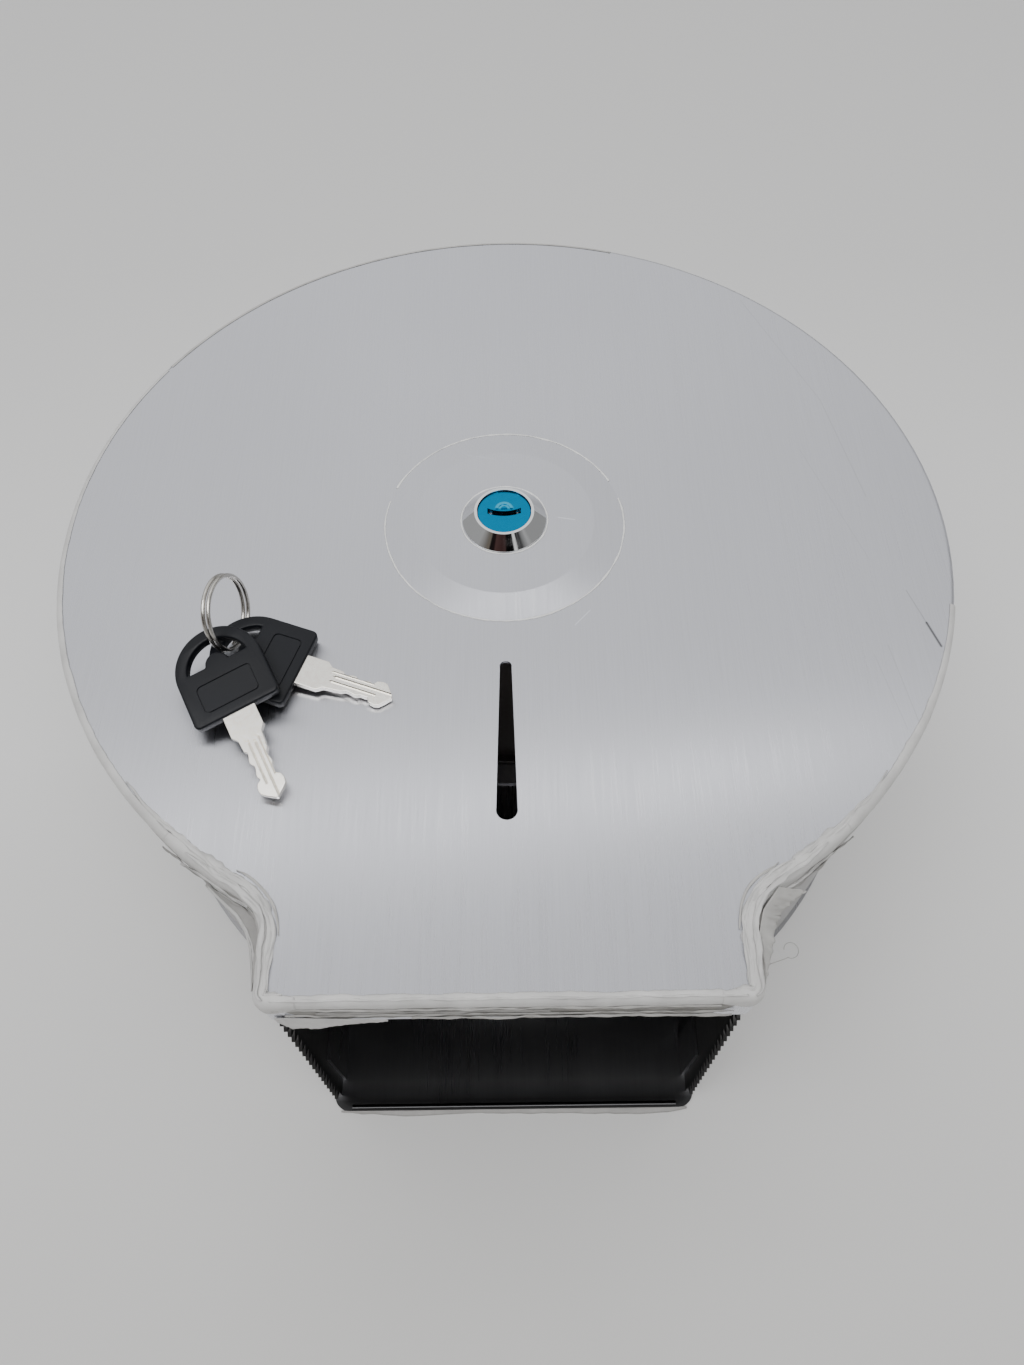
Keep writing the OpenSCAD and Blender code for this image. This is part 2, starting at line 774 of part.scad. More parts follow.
module key_head() {
    bevel = 0.5;
    panel_w = 16.5;
    panel_len = 8.5;
    panel_back = 2.6;     // from the shoulder to the sunk panel
    panel_in = 0.35;
    color(black_plastic) difference() {
        union() {
            linear_extrude(head_t) head_2d(bevel);
            translate([0, 0, bevel]) linear_extrude(head_t - 2 * bevel) head_2d(0);
        }
        translate([0, 0, -over]) linear_extrude(head_t + 2 * over) head_hole_2d();
        for (z = [-over, head_t - panel_in]) translate([-panel_len - panel_back, -panel_w / 2, z]) {
            cube([panel_len, panel_w, panel_in + over]);
        }
        translate([-blade_root, -blade_w / 2 - seat, (head_t - blade_t) / 2 - seat]) {
            cube([blade_root + over, blade_w + 2 * seat, blade_t + 2 * seat]);
        }
    }
}

// Blade outline: a wide root, cut bits along both edges and an arrow-shaped tip
root_len = 6.5;           // from the head to where the wide root ends
shank_half = 3.3;
first_bit_x = 12.6;
bit_pitch = 2.2;
waist_half = 2.2;         // half the width just behind the tip
barb_half = 3.6;
barb_len = 3;
nose_len = 2.6;
point_half = 0.3;
slant = 1.2;
function blade_upper(cuts) = concat(
    [
        [-blade_root, blade_w / 2],
        [root_len, blade_w / 2],
        [root_len + slant, shank_half],
        [first_bit_x - slant, shank_half]
    ],
    [for (i = [0 : len(cuts) - 1]) [first_bit_x + bit_pitch * i, cuts[i]]],
    [
        [blade_len - nose_len - barb_len - slant, waist_half],
        [blade_len - nose_len - barb_len, barb_half],
        [blade_len - nose_len, barb_half],
        [blade_len, point_half]
    ]
);
bits_a = [3.0, 2.3, 2.7, 2.2];
bits_b = [2.4, 2.9, 2.1, 2.6];

function mirrored(pts) = [for (i = [len(pts) - 1 : -1 : 0]) [pts[i][0], -pts[i][1]]];

// Two grooves run to the tip in the upper face, one between them in the lower face
module key_blade(upper, lower) {
    groove_w = 0.8;
    groove_in = 0.5;
    groove_out = 1.1;
    groove_x = 4;
    color(nickel) translate([0, 0, (head_t - blade_t) / 2]) difference() {
        linear_extrude(blade_t) polygon(concat(blade_upper(upper), mirrored(blade_upper(lower))));
        for (y = [-groove_out, groove_out]) translate([groove_x, y - groove_w / 2, blade_t - groove_in]) {
            cube([blade_len, groove_w, groove_in + over]);
        }
        translate([groove_x, -groove_w / 2, -over]) cube([blade_len, groove_w, groove_in + over]);
    }
}

// Where each key lies: its shoulder's middle, its heading, and how it leans on the other
key_gap = 0.3;
key_b_at = [-56.9, -54, face_z + key_gap + 0.9];
key_b_turn = -19;
key_b_pitch = 3.3;
key_a_at = [-71.4, -68.4, face_z + key_gap + 3.9];
key_a_turn = -63;
key_a_pitch = 7.3;
key_a_roll = 9;

module place_key_b() {
    translate(key_b_at) rotate([0, 0, key_b_turn]) rotate([0, key_b_pitch, 0]) children();
}

module place_key_a() {
    translate(key_a_at) rotate([0, 0, key_a_turn]) rotate([0, key_a_pitch, 0]) rotate([key_a_roll, 0, 0]) {
        children();
    }
}

module key_a_head() { place_key_a() key_head(); }
module key_a_blade() { place_key_a() key_blade(bits_a, bits_b); }
module key_b_head() { place_key_b() key_head(); }
module key_b_blade() { place_key_b() key_blade(bits_b, bits_a); }

// Split ring: one wire wound nearly two turns, as a tube of flat-sided cuts
ring_at = [-77.4, -40.2, face_z + 11.4];
ring_lean = [105.9, 30.4, -93.3];
ring_turns = 1.9;
turn_gap = 0.45;
ring_step = wire_d + turn_gap;
ring_sides = 8;
ring_cuts = 26;           // cuts in one turn

function ring_middle(t) = [
    ring_r * cos(360 * ring_turns * t),
    ring_r * sin(360 * ring_turns * t),
    ring_step * ring_turns * (t - 0.5)
];

// Least gap between the ring's turns, measured between points half a turn or more apart
ring_checks = 96;
ring_points = [for (i = [0 : ring_checks]) ring_middle(i / ring_checks)];
ring_far = ceil(ring_checks / 2 / ring_turns);
ring_gap = min([
    for (i = [0 : ring_checks - ring_far], j = [i + ring_far : ring_checks])
        norm(ring_points[i] - ring_points[j])
]) - wire_d;
echo(least_ring_gap = ring_gap);

module key_ring() {
    cuts = floor(ring_turns * ring_cuts);
    points = [
        for (i = [0 : cuts], k = [0 : ring_sides - 1])
            let (
                middle = ring_middle(i / cuts),
                turn = 360 * ring_turns * i / cuts,
                around = 360 * k / ring_sides,
                out = wire_d / 2 * cos(around)
            )
            middle + [out * cos(turn), out * sin(turn), wire_d / 2 * sin(around)]
    ];
    sides = [
        for (i = [0 : cuts - 1], k = [0 : ring_sides - 1], half = [0, 1])
            let (
                a = i * ring_sides + k,
                b = i * ring_sides + (k + 1) % ring_sides
            )
            half == 0 ? [a, b, a + ring_sides] : [b, b + ring_sides, a + ring_sides]
    ];
    last = cuts * ring_sides;
    caps = [
        for (k = [1 : ring_sides - 2]) [0, k + 1, k],
        for (k = [1 : ring_sides - 2]) [last, last + k, last + k + 1]
    ];
    color(bright) translate(ring_at) rotate(ring_lean) polyhedron(points, concat(sides, caps));
}

back_panel();
side_wall();
spindle_post();
spindle_rivets();
strike_plate();
thrust_washer();
pivot_rivet_left();
pivot_rivet_right();
pivot_washer_left();
pivot_washer_right();
roll_hub();
front_cover();
lock_housing();
lock_washer();
lock_nut();
lock_plug();
plug_cap();
lock_cam();
cam_washer();
cam_screw();
key_a_head();
key_a_blade();
key_b_head();
key_b_blade();
key_ring();
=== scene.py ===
import math
import bpy
import bmesh
from mathutils import Matrix, Vector, noise


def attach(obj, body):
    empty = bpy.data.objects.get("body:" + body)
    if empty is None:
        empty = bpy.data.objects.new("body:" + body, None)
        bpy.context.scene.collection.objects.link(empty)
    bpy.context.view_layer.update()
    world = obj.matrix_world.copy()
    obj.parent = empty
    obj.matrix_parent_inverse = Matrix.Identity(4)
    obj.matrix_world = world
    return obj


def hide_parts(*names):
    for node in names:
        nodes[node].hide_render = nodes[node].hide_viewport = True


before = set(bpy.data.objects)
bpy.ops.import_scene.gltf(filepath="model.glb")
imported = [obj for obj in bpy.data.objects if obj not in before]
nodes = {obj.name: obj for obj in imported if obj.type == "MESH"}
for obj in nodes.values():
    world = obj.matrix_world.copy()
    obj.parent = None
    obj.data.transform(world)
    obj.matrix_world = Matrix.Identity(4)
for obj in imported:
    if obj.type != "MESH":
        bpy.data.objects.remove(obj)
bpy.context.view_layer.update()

MM = 0.001

# The cover's face, rim and lower edges in mm, as in the CAD source
FACE_Z = 118.0
BACK_LOW = -151.5
COVER_R, NECK_HALF, NECK_LOW, FILLET_R, CORNER_R, BEND_R = 135.0, 60.5, -145.0, 15.0, 3.0, 1.6
FILLET_X = NECK_HALF + FILLET_R
FILLET_Y = -math.sqrt((COVER_R + FILLET_R) ** 2 - FILLET_X ** 2)


# ---------------------------------------------------------------- camera

# Fitted to the photograph: place in mm, angles in radians, focal length in the photograph's pixels
CAMERA_AT = Vector((3.04, -203.52, 363.60))
CAMERA_PITCH, CAMERA_YAW, CAMERA_ROLL = 1.03403, -0.00905, -0.0227955
FOCAL_PX, LONG_SIDE_PX, SENSOR = 1025.0, 1365.0, 36.0


def make_camera():
    flat = math.cos(CAMERA_PITCH)
    forward = Vector((math.sin(CAMERA_YAW) * flat, math.cos(CAMERA_YAW) * flat, -math.sin(CAMERA_PITCH)))
    level = forward.cross(Vector((0, 0, 1))).normalized()
    above = level.cross(forward)
    c, s = math.cos(CAMERA_ROLL), math.sin(CAMERA_ROLL)
    right = level * c + above * s
    up = above * c - level * s
    data = bpy.data.cameras.new("camera")
    data.sensor_fit = "AUTO"
    data.sensor_width = SENSOR
    data.lens = FOCAL_PX * SENSOR / LONG_SIDE_PX
    data.clip_start = 0.01
    data.clip_end = 20.0
    camera = bpy.data.objects.new("camera", data)
    place = Matrix((right, up, -forward)).transposed().to_4x4()
    place.translation = CAMERA_AT * MM
    camera.matrix_world = place
    bpy.context.scene.collection.objects.link(camera)
    bpy.context.scene.camera = camera


make_camera()


# ---------------------------------------------------------------- materials

class Nodes:
    """A node tree with short calls for its nodes. An input is a socket to link or a constant."""

    def __init__(self, tree):
        self.t = tree

    def node(self, kind, **props):
        n = self.t.nodes.new(kind)
        for k, v in props.items():
            setattr(n, k, v)
        return n

    def link(self, a, b):
        self.t.links.new(a, b)

    def feed(self, socket, value):
        if isinstance(value, bpy.types.NodeSocket):
            self.link(value, socket)
        else:
            socket.default_value = value

    def noise(self, vector, scale=1.0, detail=2.0, rough=0.5, distort=0.0):
        n = self.node("ShaderNodeTexNoise")
        n.inputs["Scale"].default_value = scale
        n.inputs["Detail"].default_value = detail
        n.inputs["Roughness"].default_value = rough
        n.inputs["Distortion"].default_value = distort
        self.link(vector, n.inputs["Vector"])
        return n.outputs["Fac"]

    def span(self, value, low, high, out_low=0.0, out_high=1.0):
        n = self.node("ShaderNodeMapRange")
        n.inputs["From Min"].default_value = low
        n.inputs["From Max"].default_value = high
        n.inputs["To Min"].default_value = out_low
        n.inputs["To Max"].default_value = out_high
        self.link(value, n.inputs["Value"])
        return n.outputs["Result"]

    def math(self, op, a, b):
        n = self.node("ShaderNodeMath", operation=op)
        self.feed(n.inputs[0], a)
        self.feed(n.inputs[1], b)
        return n.outputs[0]

    def vector(self, op, a, b, out="Vector"):
        n = self.node("ShaderNodeVectorMath", operation=op)
        self.feed(n.inputs[0], a)
        self.feed(n.inputs[1], b)
        return n.outputs[out]

    def scaled(self, vector, factor):
        n = self.node("ShaderNodeVectorMath", operation="SCALE")
        self.feed(n.inputs[0], vector)
        self.link(factor, n.inputs["Scale"])
        return n.outputs["Vector"]

    def parts(self, vector):
        n = self.node("ShaderNodeSeparateXYZ")
        self.link(vector, n.inputs["Vector"])
        return n.outputs

    def mix(self, fac, a, b):
        n = self.node("ShaderNodeMix", data_type="RGBA")
        self.link(fac, n.inputs[0])
        for k, v in ((6, a), (7, b)):
            self.feed(n.inputs[k], (*v, 1.0) if isinstance(v, tuple) else v)
        return n.outputs[2]


class Mat(Nodes):
    """The node tree of a procedural material."""

    def __init__(self, material):
        super().__init__(material.node_tree)
        self.m = material
        self.b = next(n for n in self.t.nodes if n.type == "BSDF_PRINCIPLED")
        place = self.node("ShaderNodeTexCoord")
        self.coord, self.normal = place.outputs["Object"], place.outputs["Normal"]

    def mapped(self, scale, location=(0, 0, 0)):
        n = self.node("ShaderNodeMapping")
        n.inputs["Scale"].default_value = scale
        n.inputs["Location"].default_value = location
        self.link(self.coord, n.inputs["Vector"])
        return n.outputs["Vector"]

    def flat(self):
        """The point's place with its height taken out."""
        return self.vector("MULTIPLY", self.coord, (1, 1, 0))

    def color(self, out):
        self.link(out, self.b.inputs["Base Color"])

    def dim(self, share):
        """Multiplies the colour that is there by share."""
        self.color(self.scaled(self.b.inputs["Base Color"].links[0].from_socket, share))

    def rough(self, out):
        self.link(out, self.b.inputs["Roughness"])

    def bump(self, height, strength, distance):
        n = self.node("ShaderNodeBump")
        n.inputs["Strength"].default_value = strength
        n.inputs["Distance"].default_value = distance
        self.link(height, n.inputs["Height"])
        self.link(n.outputs["Normal"], self.b.inputs["Normal"])


def new_material(name, color, metallic=0.0, rough=0.5, **sockets):
    material = bpy.data.materials.new(name)
    material.use_nodes = True
    m = Mat(material)
    m.b.inputs["Base Color"].default_value = (*color, 1.0)
    m.b.inputs["Metallic"].default_value = metallic
    m.b.inputs["Roughness"].default_value = rough
    for k, v in sockets.items():
        m.b.inputs[k.replace("_", " ")].default_value = v
    return m


def shades(color, dark, light):
    """A darker and a lighter shade of one colour."""
    return tuple(v * dark for v in color), tuple(min(1.0, v * light) for v in color)


def brushed(name, color, rough, across, seed=0.0, depth=0.00002, spread=0.05, smear=None):
    """Brushed sheet: across is the scale per axis, high across the brush lines and low along them.

    smear is the direction across the lines, in which the sheet spreads its reflections."""
    m = new_material(name, color, 1.0, rough)
    if smear:
        m.b.inputs["Anisotropic"].default_value = 0.9
        way = m.node("ShaderNodeCombineXYZ")
        for axis, v in zip("XYZ", smear):
            way.inputs[axis].default_value = v
        turn = m.node("ShaderNodeVectorTransform", vector_type="VECTOR", convert_from="OBJECT", convert_to="WORLD")
        m.link(way.outputs["Vector"], turn.inputs["Vector"])
        m.link(turn.outputs["Vector"], m.b.inputs["Tangent"])
    fine = m.noise(m.mapped(across, location=(seed, seed, seed)), 1.0, 3.0, 0.6)
    broad = m.noise(m.mapped(tuple(v * 0.13 for v in across), location=(seed + 3, seed, 0)), 1.0, 2.0)
    cloud = m.noise(m.mapped((9, 9, 9), location=(seed, 5, 2)), 1.0, 2.0)
    lines = m.math("ADD", m.math("MULTIPLY", fine, 0.75), m.math("MULTIPLY", broad, 0.25))
    m.color(m.mix(m.span(lines, 0.25, 0.75), *shades(color, 0.93, 1.06)))
    r = m.math("ADD", m.span(lines, 0.3, 0.7, rough - spread, rough + spread), m.span(cloud, 0.3, 0.7, -0.03, 0.03))
    m.rough(r)
    m.bump(lines, 0.6, depth)
    return m.m


# Scratches and marks on the cover's face: both ends in mm, half width in mm, and how much darker they are
FACE_MARKS = (
    ((121.0, -39.5), (123.4, -47.5), 0.55, 0.75), ((117.5, -28.0), (121.0, -39.5), 0.25, 0.25),
    ((84.8, 100.1), (105.1, 49.9), 0.22, 0.12), ((105.1, 49.9), (112.5, 8.0), 0.22, 0.14),
    ((95.0, 27.8), (109.0, -16.7), 0.20, 0.10), ((108.5, -47.0), (112.0, -72.0), 0.18, 0.16),
    ((104.0, -50.0), (108.5, -74.0), 0.16, 0.14), ((20.1, -38.4), (24.7, -33.3), 0.22, -0.30),
    ((-12.0, 27.0), (-3.5, 25.0), 0.15, -0.12), ((16.5, 0.6), (21.5, -0.4), 0.30, -0.30),
)


def scratch(m, flat, start, end, half, worn):
    """How strongly one straight scratch marks the point: 0 off it, worn on its middle line."""
    start, end = Vector((*start, 0)) * MM, Vector((*end, 0)) * MM
    run = end - start
    rel = m.vector("SUBTRACT", flat, start)
    along = m.span(m.vector("DOT_PRODUCT", rel, run / run.length_squared, "Value"), 0.0, 1.0)
    off = m.vector("DISTANCE", rel, m.scaled(run, along), "Value")
    return m.span(off, half * MM, 0.2 * half * MM, 0.0, worn)


def mark_face(material):
    """Darkens or lightens the face's colour along the scratches."""
    m = Mat(material)
    flat = m.flat()
    total = 0.0
    for mark in FACE_MARKS:
        total = m.math("ADD", total, scratch(m, flat, *mark))
    m.dim(m.math("SUBTRACT", 1.0, total))


def paint_inside_shade(material, share):
    """Painted shade: darkens the wall's colour on its inner side and along its toothed ends."""
    m = Mat(material)
    outward = m.node("ShaderNodeVectorMath", operation="NORMALIZE")
    m.link(m.flat(), outward.inputs[0])
    facing = m.vector("DOT_PRODUCT", m.normal, outward.outputs["Vector"], "Value")
    height = m.parts(m.coord)["Y"]
    m.dim(m.math("MULTIPLY", m.span(facing, -0.35, -0.20, share, 1.0),
                 m.span(height, (NECK_LOW + 0.2) * MM, (NECK_LOW + 2.6) * MM, share, 1.0)))


def paint_hem_shade(material, share):
    """Painted shade: darkens the rolled lower edge of the back panel to look as dark as the throat above it."""
    m = Mat(material)
    m.dim(m.span(m.parts(m.coord)["Y"], (BACK_LOW + 3.0) * MM, (BACK_LOW + 9.0) * MM, share, 1.0))


def zinc_material():
    m = new_material("zinc", (0.66, 0.67, 0.69), 1.0, 0.3)
    spots = m.noise(m.mapped((700, 700, 700)), 1.0, 3.0)
    m.color(m.mix(m.span(spots, 0.35, 0.65), (0.60, 0.61, 0.62), (0.72, 0.73, 0.76)))
    m.rough(m.span(spots, 0.3, 0.7, 0.22, 0.4))
    m.bump(spots, 0.3, 0.00002)
    return m.m


def chrome_material():
    m = new_material("chrome", (0.86, 0.87, 0.88), 1.0, 0.06)
    wear = m.noise(m.mapped((160, 160, 160)), 1.0, 4.0, 0.6)
    m.rough(m.span(wear, 0.45, 0.75, 0.04, 0.16))
    m.bump(wear, 0.15, 0.00002)
    return m.m


def plastic(name, color, rough, grain=900, depth=0.00003, strength=0.35, vary=0.15, **sockets):
    m = new_material(name, color, 0.0, rough, **sockets)
    g = m.noise(m.mapped((grain,) * 3), 1.0, 3.0, 0.6)
    c = m.noise(m.mapped((60,) * 3, location=(4, 2, 8)), 1.0, 2.0)
    m.color(m.mix(m.span(c, 0.3, 0.7), *shades(color, 1 - vary, 1 + vary)))
    m.rough(m.math("ADD", m.span(g, 0.3, 0.7, rough - 0.05, rough + 0.07), m.span(c, 0.3, 0.7, -0.03, 0.04)))
    m.bump(g, strength, depth)
    return m.m


CAP_HIGHLIGHT_Y, CAP_EDGE_R = 1.2, 8.2                  # mm: middle of the cap's raised arch, where the highlight is painted, and the cap's rim, where the shadow line is painted
HIGHLIGHT_INNER, HIGHLIGHT_OUTER = (0.9, 1.2), (3.0, 2.5)    # mm from its middle: where either side of the arch fades into its painted highlight


def cap_material():
    """Blue lacquered cap, with a painted shadow line in the gap round its edge and a painted highlight on the raised
    arch over the keyway.
    """
    m = new_material("cap_blue", (0.003, 0.215, 0.42), 1.0, 0.24)
    flat = m.flat()
    arch = m.vector("DISTANCE", flat, (0, CAP_HIGHLIGHT_Y * MM, 0), "Value")
    middle = m.vector("DISTANCE", flat, (0, 0, 0), "Value")
    inner, outer = (m.span(arch, *(r * MM for r in edge)) for edge in (HIGHLIGHT_INNER, HIGHLIGHT_OUTER))
    lit = m.math("MULTIPLY", inner, outer)
    lit = m.math("MULTIPLY", lit, m.span(m.parts(m.coord)["Y"], CAP_HIGHLIGHT_Y * MM, (CAP_HIGHLIGHT_Y + 0.5) * MM))
    c = m.mix(m.noise(m.mapped((500,) * 3), 1.0, 2.0), (0.003, 0.205, 0.40), (0.003, 0.235, 0.455))
    # painted highlight: the arch turns light cyan
    c = m.mix(lit, c, (0.04, 0.46, 0.68))
    # painted shadow line: the colour turns near black towards the cap's rim
    m.color(m.mix(m.span(middle, (CAP_EDGE_R - 0.35) * MM, (CAP_EDGE_R - 0.1) * MM), c, (0.002, 0.03, 0.07)))
    g = m.noise(m.mapped((1200,) * 3), 1.0, 3.0)
    m.rough(m.span(g, 0.3, 0.7, 0.18, 0.30))
    return m.m


SHEET_SMEAR = (1, 0, 0.02)                         # across the vertical brush lines of the face and the back
steel_face = brushed("steel_face", (0.69, 0.70, 0.75), 0.30, (2200, 45, 45), smear=SHEET_SMEAR)
mark_face(steel_face)
steel_wall = brushed("steel_wall", (0.37, 0.365, 0.365), 0.38, (60, 60, 1800), 3.0)
# painted shade on the wall's inner side and along its toothed ends
paint_inside_shade(steel_wall, 0.22)
# The back panel's steel is set much darker than the face's, as painted shade for the unlit inside of the housing
steel_back = brushed("steel_back", (0.33, 0.33, 0.34), 0.28, (2000, 40, 40), 7.0, 0.000008, 0.02, SHEET_SMEAR)
# painted shade on the back panel's rolled lower edge
paint_hem_shade(steel_back, 0.2)
# The throat shows the back panel at a flat angle, where this tint darkens it further as painted shade
steel_back.node_tree.nodes["Principled BSDF"].inputs["Metallic"].default_value = 0.99
steel_back.node_tree.nodes["Principled BSDF"].inputs["Specular Tint"].default_value = (0.3, 0.3, 0.3, 1.0)
steel_post = brushed("steel_post", (0.62, 0.62, 0.63), 0.34, (50, 50, 1500), 11.0)
steel_plate = brushed("steel_plate", (0.72, 0.72, 0.74), 0.26, (1500, 50, 50), 13.0)
zinc = zinc_material()
chrome = chrome_material()
nylon = plastic("nylon", (0.80, 0.80, 0.77), 0.45)
hub_dark = plastic("hub_dark", (0.055, 0.046, 0.042), 0.5)
cap_blue = cap_material()
key_black = plastic("key_black", (0.005, 0.006, 0.009), 0.38, 1500, 0.00003, 0.45, 0.2, Specular_IOR_Level=0.30)
nickel = brushed("nickel", (0.97, 0.925, 0.86), 0.22, (900, 900, 900), 21.0, 0.00001)
ring_steel = brushed("ring_steel", (0.62, 0.60, 0.56), 0.22, (600, 600, 600), 23.0, 0.00001)

# Materials of the solids that the scene shows, and of those that it replaces
CAD_LOOKS = {
    "front_cover": steel_face, "side_wall": steel_wall, "back_panel": steel_back,
    "spindle_post": steel_post, "strike_plate": steel_plate,
    "pivot_rivet_left": steel_plate, "pivot_rivet_right": steel_plate,
    "spindle_rivets": zinc, "lock_washer": zinc, "lock_nut": zinc, "lock_cam": zinc,
    "cam_washer": zinc, "cam_screw": zinc,
    "thrust_washer": nylon, "pivot_washer_left": nylon, "pivot_washer_right": nylon,
    "roll_hub": hub_dark, "lock_housing": chrome, "lock_plug": chrome, "plug_cap": cap_blue,
    "key_a_head": key_black, "key_b_head": key_black,
    "key_a_blade": nickel, "key_b_blade": nickel, "key_ring": ring_steel,
}
for name, mat in CAD_LOOKS.items():
    nodes[name].data.materials.clear()
    nodes[name].data.materials.append(mat)


# ---------------------------------------------------------------- shared shapes

PATH_GAP = 0.8                                     # mm between the points of the cover's outline


def cover_path():
    """Points and outward normals along the cover's rim in mm, from the middle of the lower edge round by -X."""
    out = []

    def line(a, b, n):
        a, b = Vector(a), Vector(b)
        k = max(1, round((b - a).length / PATH_GAP))
        for i in range(k):
            out.append((a.lerp(b, i / k), Vector(n)))

    def arc(c, r, a0, a1, sign):
        c = Vector(c)
        k = max(2, round(abs(a1 - a0) * r / PATH_GAP))
        for i in range(k):
            a = a0 + (a1 - a0) * i / k
            d = Vector((math.cos(a), math.sin(a)))
            out.append((c + d * r, d * sign))

    low = math.atan2(-FILLET_Y, FILLET_X)
    cx = NECK_HALF - CORNER_R
    cy = NECK_LOW + CORNER_R
    line((0, NECK_LOW), (-cx, NECK_LOW), (0, -1))
    arc((-cx, cy), CORNER_R, -math.pi / 2, -math.pi, 1)
    line((-NECK_HALF, cy), (-NECK_HALF, FILLET_Y), (-1, 0))
    arc((-FILLET_X, FILLET_Y), FILLET_R, 0, low, -1)
    arc((0, 0), COVER_R, math.pi + low, -low, 1)
    arc((FILLET_X, FILLET_Y), FILLET_R, math.pi - low, math.pi, -1)
    line((NECK_HALF, FILLET_Y), (NECK_HALF, cy), (1, 0))
    arc((cx, cy), CORNER_R, 0, -math.pi / 2, 1)
    line((cx, NECK_LOW), (0, NECK_LOW), (0, -1))
    return out


PATH = cover_path()
LENGTHS = [0.0]
for (p0, _), (p1, _) in zip(PATH, PATH[1:]):
    LENGTHS.append(LENGTHS[-1] + (p1 - p0).length)
ROUND = LENGTHS[-1] + (PATH[0][0] - PATH[-1][0]).length  # the whole way round


def at_rim(s):
    """Point and outward normal at arc length s, in mm."""
    s = s % ROUND
    lo, hi = 0, len(PATH) - 1
    while hi - lo > 1:
        mid = (lo + hi) // 2
        if LENGTHS[mid] <= s:
            lo = mid
        else:
            hi = mid
    if s >= LENGTHS[-1]:
        lo, hi = len(PATH) - 1, 0
        t = (s - LENGTHS[-1]) / max(1e-6, ROUND - LENGTHS[-1])
    else:
        t = (s - LENGTHS[lo]) / max(1e-6, LENGTHS[hi] - LENGTHS[lo])
    p = PATH[lo][0].lerp(PATH[hi][0], t)
    n = PATH[lo][1].lerp(PATH[hi][1], t).normalized()
    return p, n


def wave(s, scale, seed):
    """Smooth noise from -1 to 1 along a length."""
    return noise.noise(Vector((s / scale, seed * 7.31, seed * 1.7)))


def add_object(name, mesh, material=None):
    obj = bpy.data.objects.new(name, mesh)
    bpy.context.scene.collection.objects.link(obj)
    if material:
        mesh.materials.append(material)
    return obj


def mesh_of(name, bm):
    """The bmesh as a mesh; the bmesh is freed."""
    mesh = bpy.data.meshes.new(name)
    bm.to_mesh(mesh)
    bm.free()
    return mesh


def make_object(name, verts, faces, material, body, thick=0.0):
    """A smooth mesh piece from points in mm that rides on a body; thick gives an open sheet its thickness."""
    mesh = bpy.data.meshes.new(name)
    mesh.from_pydata([tuple(c * MM for c in v) for v in verts], [], faces)
    mesh.validate()
    obj = add_object(name, mesh, material)
    for f in mesh.polygons:
        f.use_smooth = True
    if thick:
        m = obj.modifiers.new("thick", "SOLIDIFY")
        m.thickness = thick * MM
        m.offset = 0.0
    apply_modifiers(obj)
    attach(obj, body)
    return obj


def apply_modifiers(obj):
    if not obj.modifiers:
        return
    deps = bpy.context.evaluated_depsgraph_get()
    deps.update()
    mesh = bpy.data.meshes.new_from_object(obj.evaluated_get(deps))
    old = obj.data
    obj.modifiers.clear()
    obj.data = mesh
    mesh.name = obj.name
    bpy.data.meshes.remove(old)


def grid_faces(rows, cols, closed=False):
    """Faces over rows of cols points each; closed joins each row's last point to its first."""
    faces = []
    for i in range(rows - 1):
        for k in range(cols if closed else cols - 1):
            a, b = i * cols + k, i * cols + (k + 1) % cols
            faces.append((a, b, b + cols, a + cols))
    return faces


# ---------------------------------------------------------------- protective film remnants

def film_material(name, color, rough, wrinkle):
    m = new_material(name, color, 0.0, rough, Specular_IOR_Level=0.45)
    w = m.noise(m.mapped((420, 420, 420)), 1.0, 4.0, 0.6, 1.0)
    c = m.noise(m.mapped((120, 120, 120), location=(3, 1, 4)), 1.0, 3.0)
    m.color(m.mix(m.span(c, 0.35, 0.65), *shades(color, 0.88, 1.04)))
    m.rough(m.span(w, 0.3, 0.7, rough - 0.1, rough + 0.15))
    m.bump(w, wrinkle, 0.0002)
    return m.m


film_white = film_material("film_white", (0.67, 0.665, 0.655), 0.42, 0.5)
film_bright = film_material("film_bright", (0.93, 0.93, 0.92), 0.42, 0.2)
film_grey = film_material("film_grey", (0.40, 0.392, 0.38), 0.36, 0.35)
film_dim = film_material("film_dim", (0.24, 0.23, 0.215), 0.40, 0.45)
film_thin = film_material("film_thin", (0.56, 0.553, 0.535), 0.40, 0.25)


def film_profile(s, seed, face_in, drop, lift, base):
    """Cross-section of the film over the rim at arc length s: (outward, height) pairs in mm.

    base is how far it stands off the steel, so that layers lie on each other without crossing."""
    rag = max(0.1, face_in * (1 + 0.55 * wave(s, 5.0, seed) + 0.35 * wave(s, 1.7, seed + 1)))
    fall = drop * (1 + 0.25 * wave(s, 14.0, seed + 2) + 0.12 * wave(s, 3.0, seed + 3))
    gap = base + lift * max(0.0, wave(s, 9.0, seed + 4))
    pts = [(-BEND_R - rag, FACE_Z + 0.06 + 0.3 * base)]
    pts.append((-BEND_R - rag * 0.5, FACE_Z + gap + 0.12 * max(0.0, wave(s, 2.1, seed + 5))))
    for k in range(5):
        a = math.radians(90 - 22.5 * k)
        r = BEND_R + gap
        pts.append((-BEND_R + r * math.cos(a), FACE_Z - BEND_R + r * math.sin(a)))
    for k in range(1, 6):
        z = FACE_Z - BEND_R - fall * k / 5
        pts.append((gap + 0.5 * lift * abs(wave(s + 30 * k, 6.0, seed + 6)), z))
    return pts


